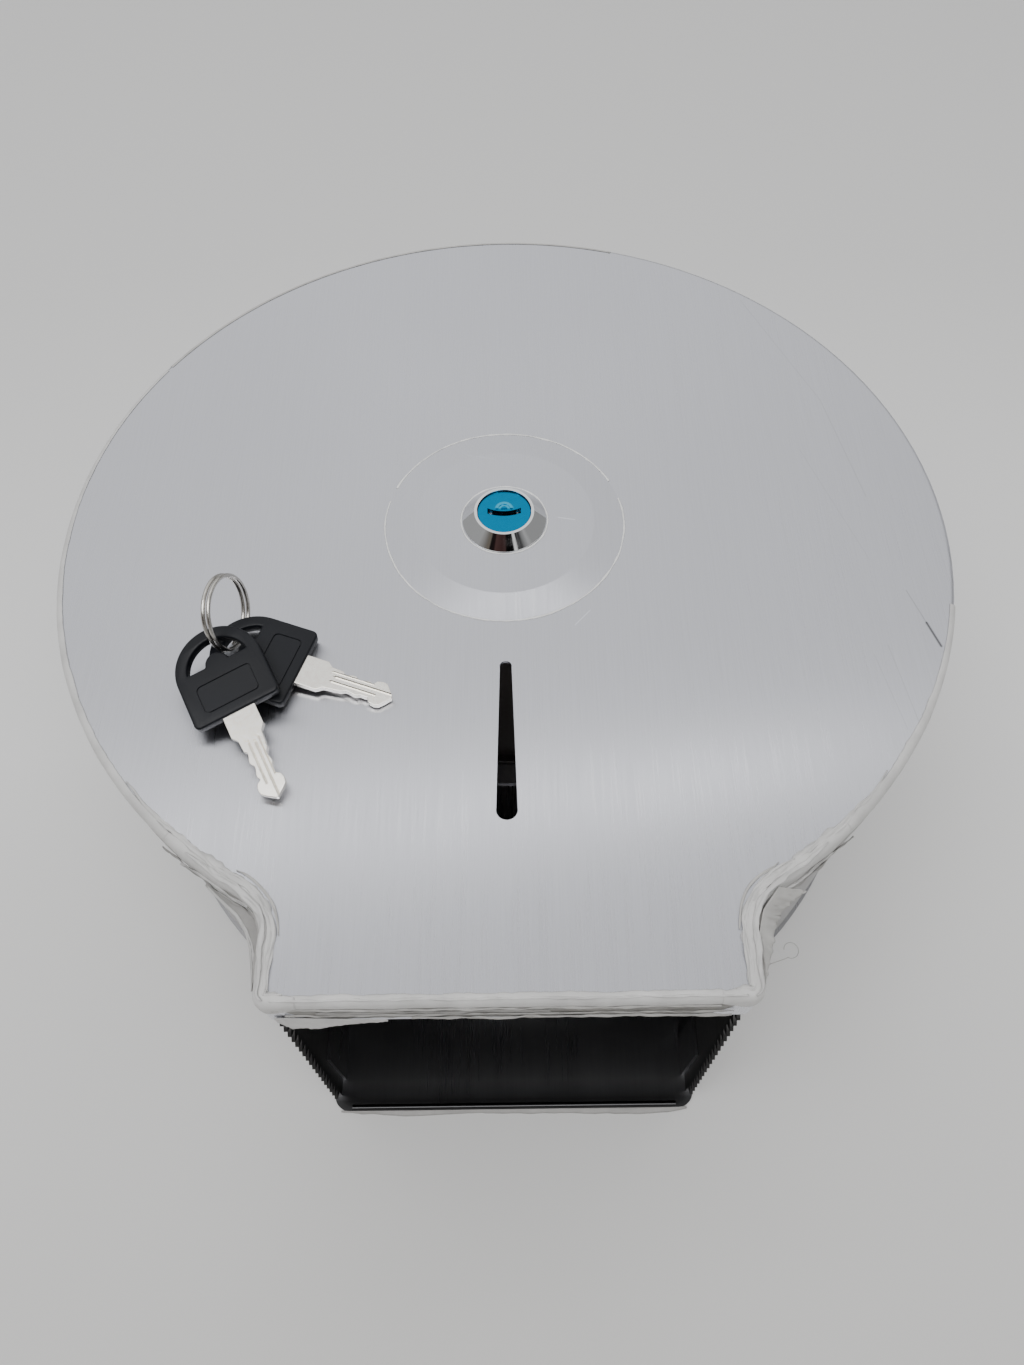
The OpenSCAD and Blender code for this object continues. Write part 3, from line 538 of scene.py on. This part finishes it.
def film_over_rim(name, s0, s1, seed, face_in, drop, lift, material, base=0.16, fade=6.0):
    """A strip of film that wraps the rim; face_in, drop, lift and base are numbers or functions of the point.

    It narrows over the last fade mm towards both ends."""
    verts, cols = [], 0
    k = max(2, round(abs(s1 - s0) / 0.7))
    for i in range(k + 1):
        s = s0 + (s1 - s0) * i / k
        p, n = at_rim(s)
        val = [v(p) if callable(v) else v for v in (face_in, drop, lift, base)]
        end = min(1.0, 0.12 + abs(s1 - s0) * min(i, k - i) / k / fade)
        prof = film_profile(s, seed, val[0] * end, val[1] * end, val[2] * end, val[3])
        cols = len(prof)
        for out, z in prof:
            q = p + n * out
            verts.append((q.x, q.y, z))
    return make_object(name, verts, grid_faces(k + 1, cols), material, "cover", thick=0.08)


def ribbon(name, line, width, tilt, seed, material, rough):
    """A crumpled ribbon of film along line, a list of (point, side, up) in mm, tilted about its run."""
    verts, cols = [], 6
    for i, (c, side, up) in enumerate(line):
        t = i / (len(line) - 1)
        w = width(t) if callable(width) else width
        across = side * math.cos(tilt) + up * math.sin(tilt)
        lift = up * math.cos(tilt) - side * math.sin(tilt)
        for k in range(cols):
            f = k / (cols - 1) - 0.5
            jag = 1 + 0.5 * noise.noise(Vector((i * 0.31, seed, (k > cols / 2) * 5.0)))
            q = c + across * (f * w * jag)
            q = q + lift * (rough * noise.noise(Vector((i * 0.22, k * 0.7, seed * 3.1))))
            q = q + lift * (0.35 * w * (0.25 - f * f))
            verts.append(tuple(q))
    return make_object(name, verts, grid_faces(len(line), cols), material, "cover", thick=0.12)


def rim_line(s0, s1, out, height, seed, stray):
    """Centre line of a ribbon along the rim that strays a little from out and height."""
    line = []
    k = max(3, round(abs(s1 - s0) / 0.8))
    for i in range(k + 1):
        s = s0 + (s1 - s0) * i / k
        p, n = at_rim(s)
        q = p + n * (out + stray * wave(s, 7.0, seed))
        h = height + 0.4 * stray * wave(s, 5.0, seed + 9)
        line.append((Vector((q.x, q.y, h)), Vector((n.x, n.y, 0)), Vector((0, 0, 1))))
    return line


def towards_neck(p):
    """0 over the round top, 1 at the hollow corners and the neck."""
    return min(1.0, max(0.0, (-40.0 - p.y) / 70.0))


S_CORNER = 56.5                                    # arc length of the lower corner
S_SIDE = S_CORNER + math.pi / 2 * CORNER_R         # start of the neck's side
S_FILLET = S_SIDE - (NECK_LOW + CORNER_R) + FILLET_Y   # start of the hollow corner
S_DRUM = S_FILLET + math.atan2(-FILLET_Y, FILLET_X) * FILLET_R  # start of the round part


def ring_scrap(name, radius, z, width, seed, gaps):
    """A ring of film left where a protective sheet was cut round a raised piece.

    It breaks where its wave falls below gaps."""
    verts, faces = [], []
    steps = round(2 * math.pi * radius / 0.5)
    row = []
    for i in range(steps + 1):
        a = 2 * math.pi * i / steps
        s = a * radius
        w = width * (1 + 0.5 * wave(s, 3.0, seed) + 0.5 * wave(s, 0.9, seed + 1))
        r = radius + 0.25 * width * wave(s, 6.0, seed + 2)
        if wave(s, 9.0, seed + 3) < gaps or w < 0.12 * width:
            row = []
            continue
        ring = []
        for out, up in ((-0.5, 0.0), (-0.25, 0.8), (0.25, 0.8), (0.5, 0.0)):
            d = r + out * w
            ring.append(len(verts))
            verts.append((d * math.cos(a), d * math.sin(a), z + 0.02 + 0.16 * up))
        if row:
            for k in range(4):
                faces.append((row[k], row[(k + 1) % 4], ring[(k + 1) % 4], ring[k]))
        if not row:
            faces.append(tuple(ring))
        row = ring
    return make_object(name, verts, faces, film_bright, "cover")


def sheet_between(name, top, low, rows, seed, material, body, crumple, slack, pleat=0.0):
    """A crumpled sheet between two lines of points in mm, with folds that grow towards the low line."""
    verts = []
    cols = len(top)
    for i in range(rows + 1):
        t = i / rows
        for k in range(cols):
            a, b = Vector(top[k]), Vector(low[k])
            q = a.lerp(b, t)
            push = crumple * t * noise.noise(Vector((k * 0.45, t * 1.5, seed)))
            push += pleat * t * math.sin(k * 1.1 + 2.0 * noise.noise(Vector((k * 0.2, t, seed + 1))))
            q += Vector((0.35 * push, -abs(push) - slack * 0.3 * t * (1 - t), 0.5 * push))
            verts.append(tuple(q))
    return make_object(name, verts, grid_faces(rows + 1, cols), material, body, thick=0.09)


def line_of(points, n):
    """n + 1 points spread evenly over a chain of straight pieces."""
    points = [Vector(p) for p in points]
    spans = [(b - a).length for a, b in zip(points, points[1:])]
    out = []
    for i in range(n + 1):
        d = sum(spans) * i / n
        k = 0
        while k < len(spans) - 1 and d > spans[k]:
            d -= spans[k]
            k += 1
        out.append(tuple(points[k].lerp(points[k + 1], min(1.0, d / spans[k]))))
    return out


def capped_tube_faces(rings, sides):
    """Faces of a tube with flat ends over rings of points."""
    last = (rings - 1) * sides
    return grid_faces(rings, sides, True) + [tuple(range(sides))[::-1], tuple(range(last, last + sides))]


def thread(name, points, radius, material):
    """A loose thread of film through a chain of points in mm."""
    verts, sides = [], 6
    pts = [Vector(p) for p in points]
    for i, p in enumerate(pts):
        run = (pts[min(i + 1, len(pts) - 1)] - pts[max(i - 1, 0)]).normalized()
        a = run.cross(Vector((0, 0.3, 1))).normalized()
        b = run.cross(a)
        for k in range(sides):
            t = 2 * math.pi * k / sides
            verts.append(tuple(p + (a * math.cos(t) + b * math.sin(t)) * radius))
    return make_object(name, verts, capped_tube_faces(len(pts), sides), material, "cover")


def over_flange(p):
    """How far the edge film stands off: 0.12 mm over the round top, 0.32 where another layer lies below it."""
    return 0.12 + 0.20 * min(1.0, max(0.0, -p.y / 35.0))


# Torn strips on both sides: from, to along the rim, outward, height, width in mm, tilt, material
TEARS = (
    (S_CORNER - 3, S_DRUM + 46, -2.4, 118.5, 1.5, 0.25, film_white),
    (S_CORNER + 2, S_DRUM + 18, -0.7, 118.9, 1.7, -0.5, film_white),
    (S_SIDE, S_DRUM + 8, -3.2, 118.45, 1.2, 0.45, film_white),
    (S_SIDE + 2, S_FILLET + 12, 1.0, 115.8, 1.5, -1.1, film_grey),
    (S_FILLET - 2, S_DRUM + 20, 0.9, 112.6, 0.7, -1.2, film_white),
    (S_FILLET - 4, S_DRUM + 30, 0.8, 107.4, 0.6, -1.3, film_grey),
    (S_FILLET + 2, S_DRUM + 4, -4.4, 118.35, 0.7, 0.1, film_thin),
)
# Rolled strips along the lower edge, in the same order
LOWER_ROLLS = (
    (S_CORNER, -S_CORNER, -1.0, 118.35, 0.6, 0.3, film_white),
    (S_CORNER, -S_CORNER + 6, 0.5, 114.7, 0.6, -1.2, film_thin),
    (S_CORNER - 10, -10, 0.45, 111.6, 0.9, -1.3, film_grey),
    (S_CORNER - 2, -S_CORNER + 2, 0.35, 108.8, 0.45, -1.4, film_thin),
    (24, -S_CORNER + 2, 0.4, 105.4, 1.0, -1.4, film_thin),
)
# Loose sheets on the cover: name, points of both edges in mm, steps along and across, seed, material, and folds
SAG_Y = NECK_LOW - 0.4
SHEETS = (
    # a scrap that sags under the lower edge at the left
    ("film_sag", [(-57.5, SAG_Y, 107.5), (-30.0, SAG_Y, 104.5)],
     [(-57.5, SAG_Y, 103.0), (-54.5, SAG_Y - 0.5, 98.2), (-47.5, SAG_Y - 0.5, 99.4), (-40.0, SAG_Y - 0.3, 101.4),
      (-30.0, SAG_Y, 103.2)],
     44, 12, 41.0, film_white, (0.5, 0.4)),
    # a torn skirt that flares out from the left flange, and the white hem that it ends in beside the neck
    ("film_skirt_left",
     [(-80.0, -109.2, 103.7), (-74.8, -112.8, 103.6), (-69.0, -116.5, 103.6), (-64.7, -120.4, 103.8),
      (-61.8, -125.4, 104.0), (-61.0, -130.5, 104.2), (-60.9, -134.0, 104.4)],
     [(-80.4, -109.8, 103.3), (-75.5, -113.9, 102.9), (-71.1, -117.8, 102.8), (-68.3, -121.9, 102.7),
      (-66.5, -126.3, 102.5), (-65.9, -130.5, 101.8), (-65.4, -135.6, 100.9)],
     60, 8, 45.0, film_grey, (0.4, 0.3)),
    ("film_hem_left",
     [(-79.8, -109.9, 103.5), (-75.5, -113.8, 103.3), (-70.9, -117.7, 103.2), (-67.9, -121.8, 103.1),
      (-65.9, -126.2, 102.9), (-64.9, -130.4, 102.6), (-64.2, -135.4, 102.0)],
     [(-80.2, -110.2, 103.1), (-75.9, -114.3, 102.7), (-71.5, -118.2, 102.5), (-68.7, -122.2, 102.3),
      (-67.0, -126.5, 102.1), (-66.4, -130.7, 101.2), (-65.7, -136.7, 100.1)],
     60, 4, 46.0, film_white, (0.3, 0.1)),
    # a wide flap that stands off the right side of the neck
    ("film_flap",
     [(67.5, -117.4, 117.6), (62.9, -123.2, 117.4), (60.9, -130.0, 117.2), (60.8, -141.0, 115.6)],
     [(75.8, -116.8, 113.4), (69.4, -121.0, 112.0), (66.6, -126.4, 111.0), (64.8, -132.4, 112.0),
      (63.2, -136.8, 112.6), (61.6, -142.2, 112.0)],
     56, 12, 43.0, film_thin, (1.1, 0.6, 0.45)),
)


def edge_film():
    """Film along the rim: thin over the round top, wider towards the hollow corners."""
    def lift(p):
        return 0.1 + 0.2 * towards_neck(p)

    def face_in(p):
        return 0.30 + 0.55 * towards_neck(p)

    film_over_rim("film_edge_left", S_DRUM + 2, S_DRUM + 215, 1.0, face_in, lambda p: 1.2 + 2.4 * towards_neck(p),
                  lift, film_white, base=over_flange, fade=90.0)
    film_over_rim("film_edge_right", ROUND - S_DRUM - 2, ROUND - S_DRUM - 108, 1.5, face_in,
                  lambda p: 1.2 + 2.2 * towards_neck(p), lift, film_white, base=over_flange, fade=50.0)
    film_over_rim("film_edge_top", S_DRUM + 217, S_DRUM + 395, 2.0, 0.12, 0.9, 0.05, film_thin, base=0.12, fade=60.0)


def side_film(side, name):
    """Film on the neck and the hollow corner; side is 1 on the left and -1 on the right."""
    def s(v):
        return v if side > 0 else ROUND - v

    film_over_rim("film_corner_" + name, s(S_CORNER - 6), s(S_DRUM + 26), 4.0 + side, 2.0, 3.4, 0.5,
                  film_white, base=0.42)
    film_over_rim("film_flange_" + name, s(S_CORNER - 2), s(S_DRUM + 105), 8.0 + side, 0.05, 11.6, 0.12,
                  film_grey, base=0.08, fade=40.0)
    for k, (a, b, out, height, width, tilt, material) in enumerate(TEARS):
        line = rim_line(s(a), s(b), out, height, k + 2.0 * side, 0.7)
        ribbon(f"film_tear_{name}_{k}", line, lambda t: width * min(1.0, 0.2 + 3 * t, 0.2 + 3 * (1 - t)),
               tilt * side, 11.0 + k + side, material, 0.7)


def lower_film():
    """Film along the cover's lower edge."""
    film_over_rim("film_lower_edge", S_CORNER - 2, -(S_CORNER - 2), 15.0, 0.8, 0.9, 0.35, film_white, base=0.3)
    for k, (a, b, out, height, width, tilt, material) in enumerate(LOWER_ROLLS):
        ribbon(f"film_lower_roll_{k}", rim_line(a, b, out, height, 30.0 + k, 0.3), width, tilt, 31.0 + k, material, 0.4)
    film_over_rim("film_flange_low", S_CORNER - 1, -(S_CORNER - 1), 17.0, 0.05, 12.2, 0.1, film_dim, base=0.06,
                  fade=8.0)


def loose_thread():
    """A thread that leaves the flap and ends in a loop."""
    points = [(63.5 + 1.25 * k, -134.6 + 0.5 * k, 108.5 - 0.5 * k) for k in range(6)]
    for a in range(-120, 190, 15):
        t = math.radians(a)
        points.append((71.3 + 1.9 * math.cos(t), -130.0 + 1.9 * math.sin(t), 105.6 + a * 0.004))
    thread("film_thread", points, 0.11, film_grey)


def hem_film():
    """A strip left under the rolled lower edge of the back panel."""
    steps, half = 120, 57.0
    strip, edge = [], []
    for k in range(steps + 1):
        x, y = -half + 2 * half * k / steps, BACK_LOW + 0.12
        reach = 1.6 + 0.9 * wave(k, 17.0, 48.0) + 0.3 * wave(k, 5.0, 49.0)
        strip.append((x, y, 0.95))
        edge.append((x, y - reach * min(1.0, 0.3 + 0.1 * min(k, steps - k)), 0.5))
    sheet_between("film_back_lip", strip, edge, 4, 47.0, film_grey, "housing", 0.15, 0.0)


def make_film():
    edge_film()
    for side, name in ((1, "left"), (-1, "right")):
        side_film(side, name)
    lower_film()
    for name, top, low, along, across, seed, material, folds in SHEETS:
        sheet_between(name, line_of(top, along), line_of(low, along), across, seed, material, "cover", *folds)
    loose_thread()
    hem_film()
    ring_scrap("film_ring_boss", 36.65, FACE_Z, 0.62, 51.0, -0.42)
    ring_scrap("film_ring_bezel", 13.2, FACE_Z + 1.2, 0.6, 53.0, -2.0)


make_film()


# ---------------------------------------------------------------- keys and ring

# As in the CAD source, in mm. A key's X runs from the head's top to the blade's tip, and 0 is where they meet.
HEAD_W, HEAD_LEN, HEAD_T = 24.6, 26.5, 3.2
BLADE_LEN, BLADE_W, BLADE_T, BLADE_ROOT = 27.0, 9.6, 1.8, 6.0
BLADE_LOW = (HEAD_T - BLADE_T) / 2                 # height of the blade's lower side


def turned(at, turn, pitch, roll):
    """A place in mm with turns in degrees about Z, Y and X."""
    return (Matrix.Translation(Vector(at)) @ Matrix.Rotation(math.radians(turn), 4, "Z")
            @ Matrix.Rotation(math.radians(pitch), 4, "Y") @ Matrix.Rotation(math.radians(roll), 4, "X"))


KEY_PLACES = {
    "a": turned((-71.4, -68.4, FACE_Z + 4.2), -63, 7.3, 9),
    "b": turned((-56.9, -54.0, FACE_Z + 1.2), -19, 3.3, 0),
}


def arc_points(cx, cy, r, a0, a1, n):
    return [(cx + r * math.cos(math.radians(a0 + (a1 - a0) * i / n)),
             cy + r * math.sin(math.radians(a0 + (a1 - a0) * i / n))) for i in range(n + 1)]


HEAD_TOP = -HEAD_LEN + HEAD_W / 2                  # middle of the head's round top


def head_outline():
    r, cr = HEAD_W / 2, 1.6
    pts = arc_points(HEAD_TOP, 0, r, 90, 270, 40)
    pts += arc_points(-cr, -r + cr, cr, 270, 360, 6)
    pts += arc_points(-cr, r - cr, cr, 0, 90, 6)
    return pts


def hole_outline():
    """Crescent with a round bump standing into it."""
    r, cut_off, bump_r, bump_off = HEAD_W / 2 - 3.4, 1.6, 3.4, 1.2
    a = math.degrees(math.acos(cut_off / r))
    b = math.degrees(math.acos((cut_off - bump_off) / bump_r))
    pts = arc_points(HEAD_TOP, 0, r, 180 - a, 180 + a, 28)
    pts += arc_points(HEAD_TOP - bump_off, 0, bump_r, 180 + b, 180 - b, 14)
    return [(min(x, HEAD_TOP - cut_off), y) for x, y in pts]


def plate(name, outer, hole, z0, z1, material, bevel=0.0, segments=3):
    """A flat plate from z0 to z1 with an optional hole and rounded edges, in mm, before it is put in its place."""
    bm = bmesh.new()
    edges = []
    for loop in [outer] + ([hole] if hole else []):
        vs = [bm.verts.new((x * MM, y * MM, z0 * MM)) for x, y in loop]
        edges += [bm.edges.new((vs[i], vs[(i + 1) % len(vs)])) for i in range(len(vs))]
    bmesh.ops.triangle_fill(bm, use_beauty=True, use_dissolve=False, edges=edges)
    bmesh.ops.dissolve_limit(bm, angle_limit=0.01, verts=bm.verts, edges=bm.edges)
    ext = bmesh.ops.extrude_face_region(bm, geom=bm.faces[:])
    top = [v for v in ext["geom"] if isinstance(v, bmesh.types.BMVert)]
    bmesh.ops.translate(bm, verts=top, vec=(0, 0, (z1 - z0) * MM))
    bmesh.ops.recalc_face_normals(bm, faces=bm.faces[:])
    obj = add_object(name, mesh_of(name, bm), material)
    if bevel:
        m = obj.modifiers.new("bevel", "BEVEL")
        m.width = bevel * MM
        m.segments = segments
        m.limit_method = "ANGLE"
        m.angle_limit = math.radians(40)
    apply_modifiers(obj)
    return obj


def finish_piece(obj, place, body, smooth_angle=35):
    """Puts a piece in its place, smooths what bends by less than smooth_angle degrees and ties it to its body."""
    obj.data.transform(Matrix.Scale(1.0 / MM, 4))
    obj.data.transform(place)
    obj.data.transform(Matrix.Scale(MM, 4))
    for f in obj.data.polygons:
        f.use_smooth = True
    mark_sharp(obj.data, smooth_angle)
    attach(obj, body)


def mark_sharp(mesh, degrees):
    """Edges that bend by degrees or more stay sharp."""
    bm = bmesh.new()
    bm.from_mesh(mesh)
    for e in bm.edges:
        if len(e.link_faces) == 2:
            e.smooth = e.calc_face_angle(0.0) < math.radians(degrees)
    bm.to_mesh(mesh)
    bm.free()


def cut(obj, cutters):
    """Takes the cutters out of the piece and deletes them."""
    for c in cutters:
        m = obj.modifiers.new("cut", "BOOLEAN")
        m.operation = "DIFFERENCE"
        m.solver = "EXACT"
        m.object = c
    apply_modifiers(obj)
    for c in cutters:
        mesh = c.data
        bpy.data.objects.remove(c)
        bpy.data.meshes.remove(mesh)


def rounded_rect(cx, cy, w, h, r):
    pts = []
    for sx, sy, a in ((1, 1, 0), (-1, 1, 90), (-1, -1, 180), (1, -1, 270)):
        pts += arc_points(cx + sx * (w / 2 - r), cy + sy * (h / 2 - r), r, a, a + 90, 5)
    return pts


def key_head(tag):
    """A moulded head with a rounded frame cut into both flat sides."""
    obj = plate(f"key_{tag}_head_moulded", head_outline(), hole_outline(), 0, HEAD_T, key_black, 0.55)
    depth, over, x = 0.35, 1.0, -7.1
    cut(obj, [plate("cutter", rounded_rect(x, 0, 8.6, 16.2, 1.5), rounded_rect(x, 0, 7.8, 15.4, 1.2),
                    z, z + depth + over, key_black) for z in (HEAD_T - depth, -over)])
    finish_piece(obj, KEY_PLACES[tag], "keys")
    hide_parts(f"key_{tag}_head")


# Half widths of the cuts along both edges of each blade, in mm
BITS = {"a": ((3.0, 2.3, 2.7, 2.2), (2.4, 2.9, 2.1, 2.6)), "b": ((2.4, 2.9, 2.1, 2.6), (3.0, 2.3, 2.7, 2.2))}


def blade_side(bits, sign):
    """One edge of the blade from its root in the head to its tip; sign is 1 or -1."""
    pts = [(-BLADE_ROOT + 0.3, BLADE_W / 2 - 0.1), (6.3, BLADE_W / 2 - 0.1), (6.6, BLADE_W / 2 - 0.3),
           (8, 3.4), (11.5, 3.15)]
    for i, b in enumerate(bits):
        pts += [(12.6 + 2.2 * i - 0.5, b), (12.6 + 2.2 * i + 0.4, b + 0.05)]
    tip = ((6.9, 2.3), (6.4, 2.2), (5.7, 3.3), (5.0, 3.62), (3.8, 3.8), (2.7, 3.55), (1.5, 2.2), (0.6, 1.0), (0, 0.25))
    pts += [(BLADE_LEN - back, y) for back, y in tip]
    return [(x, sign * y) for x, y in pts]


# Grooves along both flat sides: from, to, middle and width in mm
GROOVES = ((8.6, 30, 0.75, 0.80), (8.0, 22.5, -0.95, 0.75), (7.4, 21.0, 2.05, 0.55))


def groove(x0, x1, y, w, z, up):
    """A wedge that cuts a V groove from x0 to x1 into the blade's side at height z; it runs out at x0."""
    deep, over, run_out = 0.5 * w, 0.3, 1.4
    half = w / 2 * (deep + over) / deep
    high, low, x2 = z + up * over, z - up * deep, x0 + run_out
    pts = [(x0, y, high), (x1, y - half, high), (x1, y + half, high), (x1, y, low),
           (x2, y - half, high), (x2, y + half, high), (x2, y, low)]
    bm = bmesh.new()
    vs = [bm.verts.new(tuple(c * MM for c in p)) for p in pts]
    for f in ((0, 4, 5), (4, 1, 2, 5), (0, 6, 4), (0, 5, 6), (4, 6, 3, 1), (5, 2, 3, 6), (1, 3, 2)):
        bm.faces.new([vs[i] for i in f])
    bmesh.ops.recalc_face_normals(bm, faces=bm.faces[:])
    return add_object("cutter", mesh_of("cutter", bm), nickel)


def key_blade(tag):
    upper, lower = BITS[tag]
    outline = blade_side(upper, 1) + blade_side(lower, -1)[::-1]
    high = BLADE_LOW + BLADE_T
    obj = plate(f"key_{tag}_blade_cut", outline, None, BLADE_LOW, high, nickel, 0.14, 2)
    cutters = []
    for x0, x1, y, w in GROOVES:
        cutters.append(groove(x0, x1, y, w, high, 1))
        cutters.append(groove(x0, x1, -y, w, BLADE_LOW, -1))
    cut(obj, cutters)
    finish_piece(obj, KEY_PLACES[tag], "keys", 12)
    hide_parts(f"key_{tag}_blade")


RING_AT = turned((-77.4, -40.2, FACE_Z + 11.4), -93.3, 30.4, 105.9)


def split_ring():
    """One wire wound nearly two turns, with rounded ends."""
    radius, wire, turns, step = 10.4, 0.6, 1.9, 1.65
    cuts, sides = 190, 16
    verts = []
    for i in range(cuts + 1):
        t = i / cuts
        a = 2 * math.pi * turns * t
        r = wire * min(1.0, 0.72 + 30 * min(t, 1 - t))
        for k in range(sides):
            b = 2 * math.pi * k / sides
            d = radius + r * math.cos(b)
            high = step * turns * (t - 0.5) + r * math.sin(b)
            verts.append(tuple(RING_AT @ Vector((d * math.cos(a), d * math.sin(a), high))))
    obj = make_object("key_ring_wound", verts, capped_tube_faces(cuts + 1, sides), ring_steel, "keys")
    mark_sharp(obj.data, 40)
    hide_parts("key_ring")


for tag in "ab":
    key_head(tag)
    key_blade(tag)
split_ring()


# ---------------------------------------------------------------- floor and light

# Colours of the floor by how far it lies up the picture, in metres along Y: painted shade, darkest on the near side and
# somewhat darker on the far side than in the middle
FLOOR = ((-0.30, (0.62, 0.612, 0.597)), (-0.02, (0.86, 0.86, 0.856)), (0.28, (0.735, 0.735, 0.731)))
FLOOR_HALF, FLOOR_GAP = 3.0, 0.0002                # metres: half its side, and how far it lies below the part


def make_floor():
    bm = bmesh.new()
    bmesh.ops.create_grid(bm, x_segments=1, y_segments=1, size=FLOOR_HALF)
    m = new_material("floor_white", (0.7, 0.7, 0.7), 0.0, 0.6)
    cloud = m.noise(m.mapped((3, 3, 3)), 1.0, 3.0)
    far = m.math("ADD", m.parts(m.coord)["Y"], m.span(cloud, 0.3, 0.7, -0.04, 0.04))
    (low, near), (mid, middle), (high, distant) = FLOOR
    # painted shade: the floor's colour falls off from the middle towards the near and far edges
    m.color(m.mix(m.span(far, mid, high), m.mix(m.span(far, low, mid), near, middle), distant))
    floor = add_object("floor", mesh_of("floor", bm), m.m)
    floor.location = (0, 0, -FLOOR_GAP)


def area(name, at, to, size, power, spin=0.0):
    """An area lamp at a place in metres that shines to another, turned by spin degrees about the upright."""
    data = bpy.data.lights.new(name, "AREA")
    data.shape = "RECTANGLE"
    data.size, data.size_y = size
    data.energy = power
    light = add_object(name, data)
    light.visible_camera = False
    aim = (Vector(to) - Vector(at)).to_track_quat("-Z", "Y")
    light.matrix_world = (Matrix.Translation(Vector(at)) @ Matrix.Rotation(math.radians(spin), 4, "Z")
                          @ aim.to_matrix().to_4x4())


# Brightness of the room by the angle in degrees from the horizon behind the dispenser up over its top
SKY = ((0, 0.34), (13, 0.36), (24, 0.92), (30, 1.04), (45, 1.05), (60, 1.06), (67, 1.01), (73, 0.94), (78, 0.89),
       (95, 0.88), (125, 0.88), (160, 0.80), (168, 0.40), (180, 0.36))
# What the chrome mirrors from the front, by x of the direction from -1 to 1: dark with a lit gap
FRONT = ((-0.86, (1, 1, 1)), (-0.80, (0.20, 0.17, 0.14)), (-0.66, (0.12, 0.10, 0.08)), (-0.55, (0.20, 0.17, 0.14)),
         (-0.50, (0.015, 0.012, 0.012)), (-0.38, (0.02, 0.012, 0.012)), (-0.34, (0.085, 0.045, 0.042)),
         (-0.10, (0.05, 0.025, 0.024)), (0.02, (0.07, 0.04, 0.038)), (0.06, (0.003, 0.003, 0.003)),
         (0.31, (0.004, 0.004, 0.004)), (0.34, (1.1, 1.1, 1.08)), (0.42, (1.1, 1.1, 1.08)),
         (0.45, (0.03, 0.03, 0.03)), (0.52, (0.12, 0.12, 0.12)), (0.58, (0.05, 0.05, 0.05)), (0.64, (0.20, 0.20, 0.20)),
         (0.72, (0.4, 0.4, 0.4)), (0.78, (1, 1, 1)))
FRONT_FROM, FRONT_TO = (118, 128), (158, 166)      # angles over which that comes in and goes out again
SKY_RIGHT = 0.78                                   # how bright the room's right side is beside the rest
SKY_LEFT = 0.92                                    # the same for its left side
SKY_SIDES = 0.38                                   # brightness of both far sides
SIDE_FADE = (0.58, 0.84)                           # sizes of x between which the room passes over to them


def ramp_of(world, value, stops, interpolation="LINEAR"):
    """A ramp whose stops are pairs of a place from 0 to 1 and a brightness or a colour."""
    ramp = world.node("ShaderNodeValToRGB")
    ramp.color_ramp.interpolation = interpolation
    marks = ramp.color_ramp.elements
    for k, (place, v) in enumerate(stops):
        mark = marks[k] if k < 2 else marks.new(1.0)
        mark.position = place
        mark.color = (*v, 1.0) if isinstance(v, tuple) else (v, v, v, 1.0)
    world.link(value, ramp.inputs["Fac"])
    return ramp.outputs["Color"]


def make_light():
    world = bpy.data.worlds.new("world")
    world.use_nodes = True
    bpy.context.scene.world = world
    w = Nodes(world.node_tree)
    way = w.parts(w.node("ShaderNodeTexCoord").outputs["Generated"])
    x = way["X"]
    angle = w.math("ARCTAN2", way["Z"], way["Y"])
    sky = ramp_of(w, w.math("DIVIDE", angle, math.pi), [(d / 180, v) for d, v in SKY], "EASE")
    front = ramp_of(w, w.span(x, -1, 1), [(0.5 + v / 2, c) for v, c in FRONT])
    comes, goes = (tuple(math.radians(a) for a in pair) for pair in (FRONT_FROM, FRONT_TO))
    in_front = w.math("MULTIPLY", w.span(angle, *comes), w.span(angle, *goes, 1, 0))
    lit = w.vector("MULTIPLY", sky, w.mix(in_front, (1, 1, 1), front))
    bg = w.t.nodes["Background"]
    far = w.span(w.math("ABSOLUTE", x, 0), *SIDE_FADE)
    w.link(w.mix(far, lit, (SKY_SIDES,) * 3), bg.inputs["Color"])
    w.link(w.math("MULTIPLY", w.span(x, 0.0, 0.5, 1.0, SKY_RIGHT), w.span(x, -0.5, -0.15, SKY_LEFT, 1.0)),
           bg.inputs["Strength"])
    area("light_band", (-0.42, 0.184, 0.86), (-0.42, -0.149, 0.118), (1.56, 0.055), 0.48, 8.0)
    area("light_soft", (-0.15, -0.62, 2.0), (0, 0, 0.05), (2.4, 1.0), 25.0)


make_floor()
make_light()
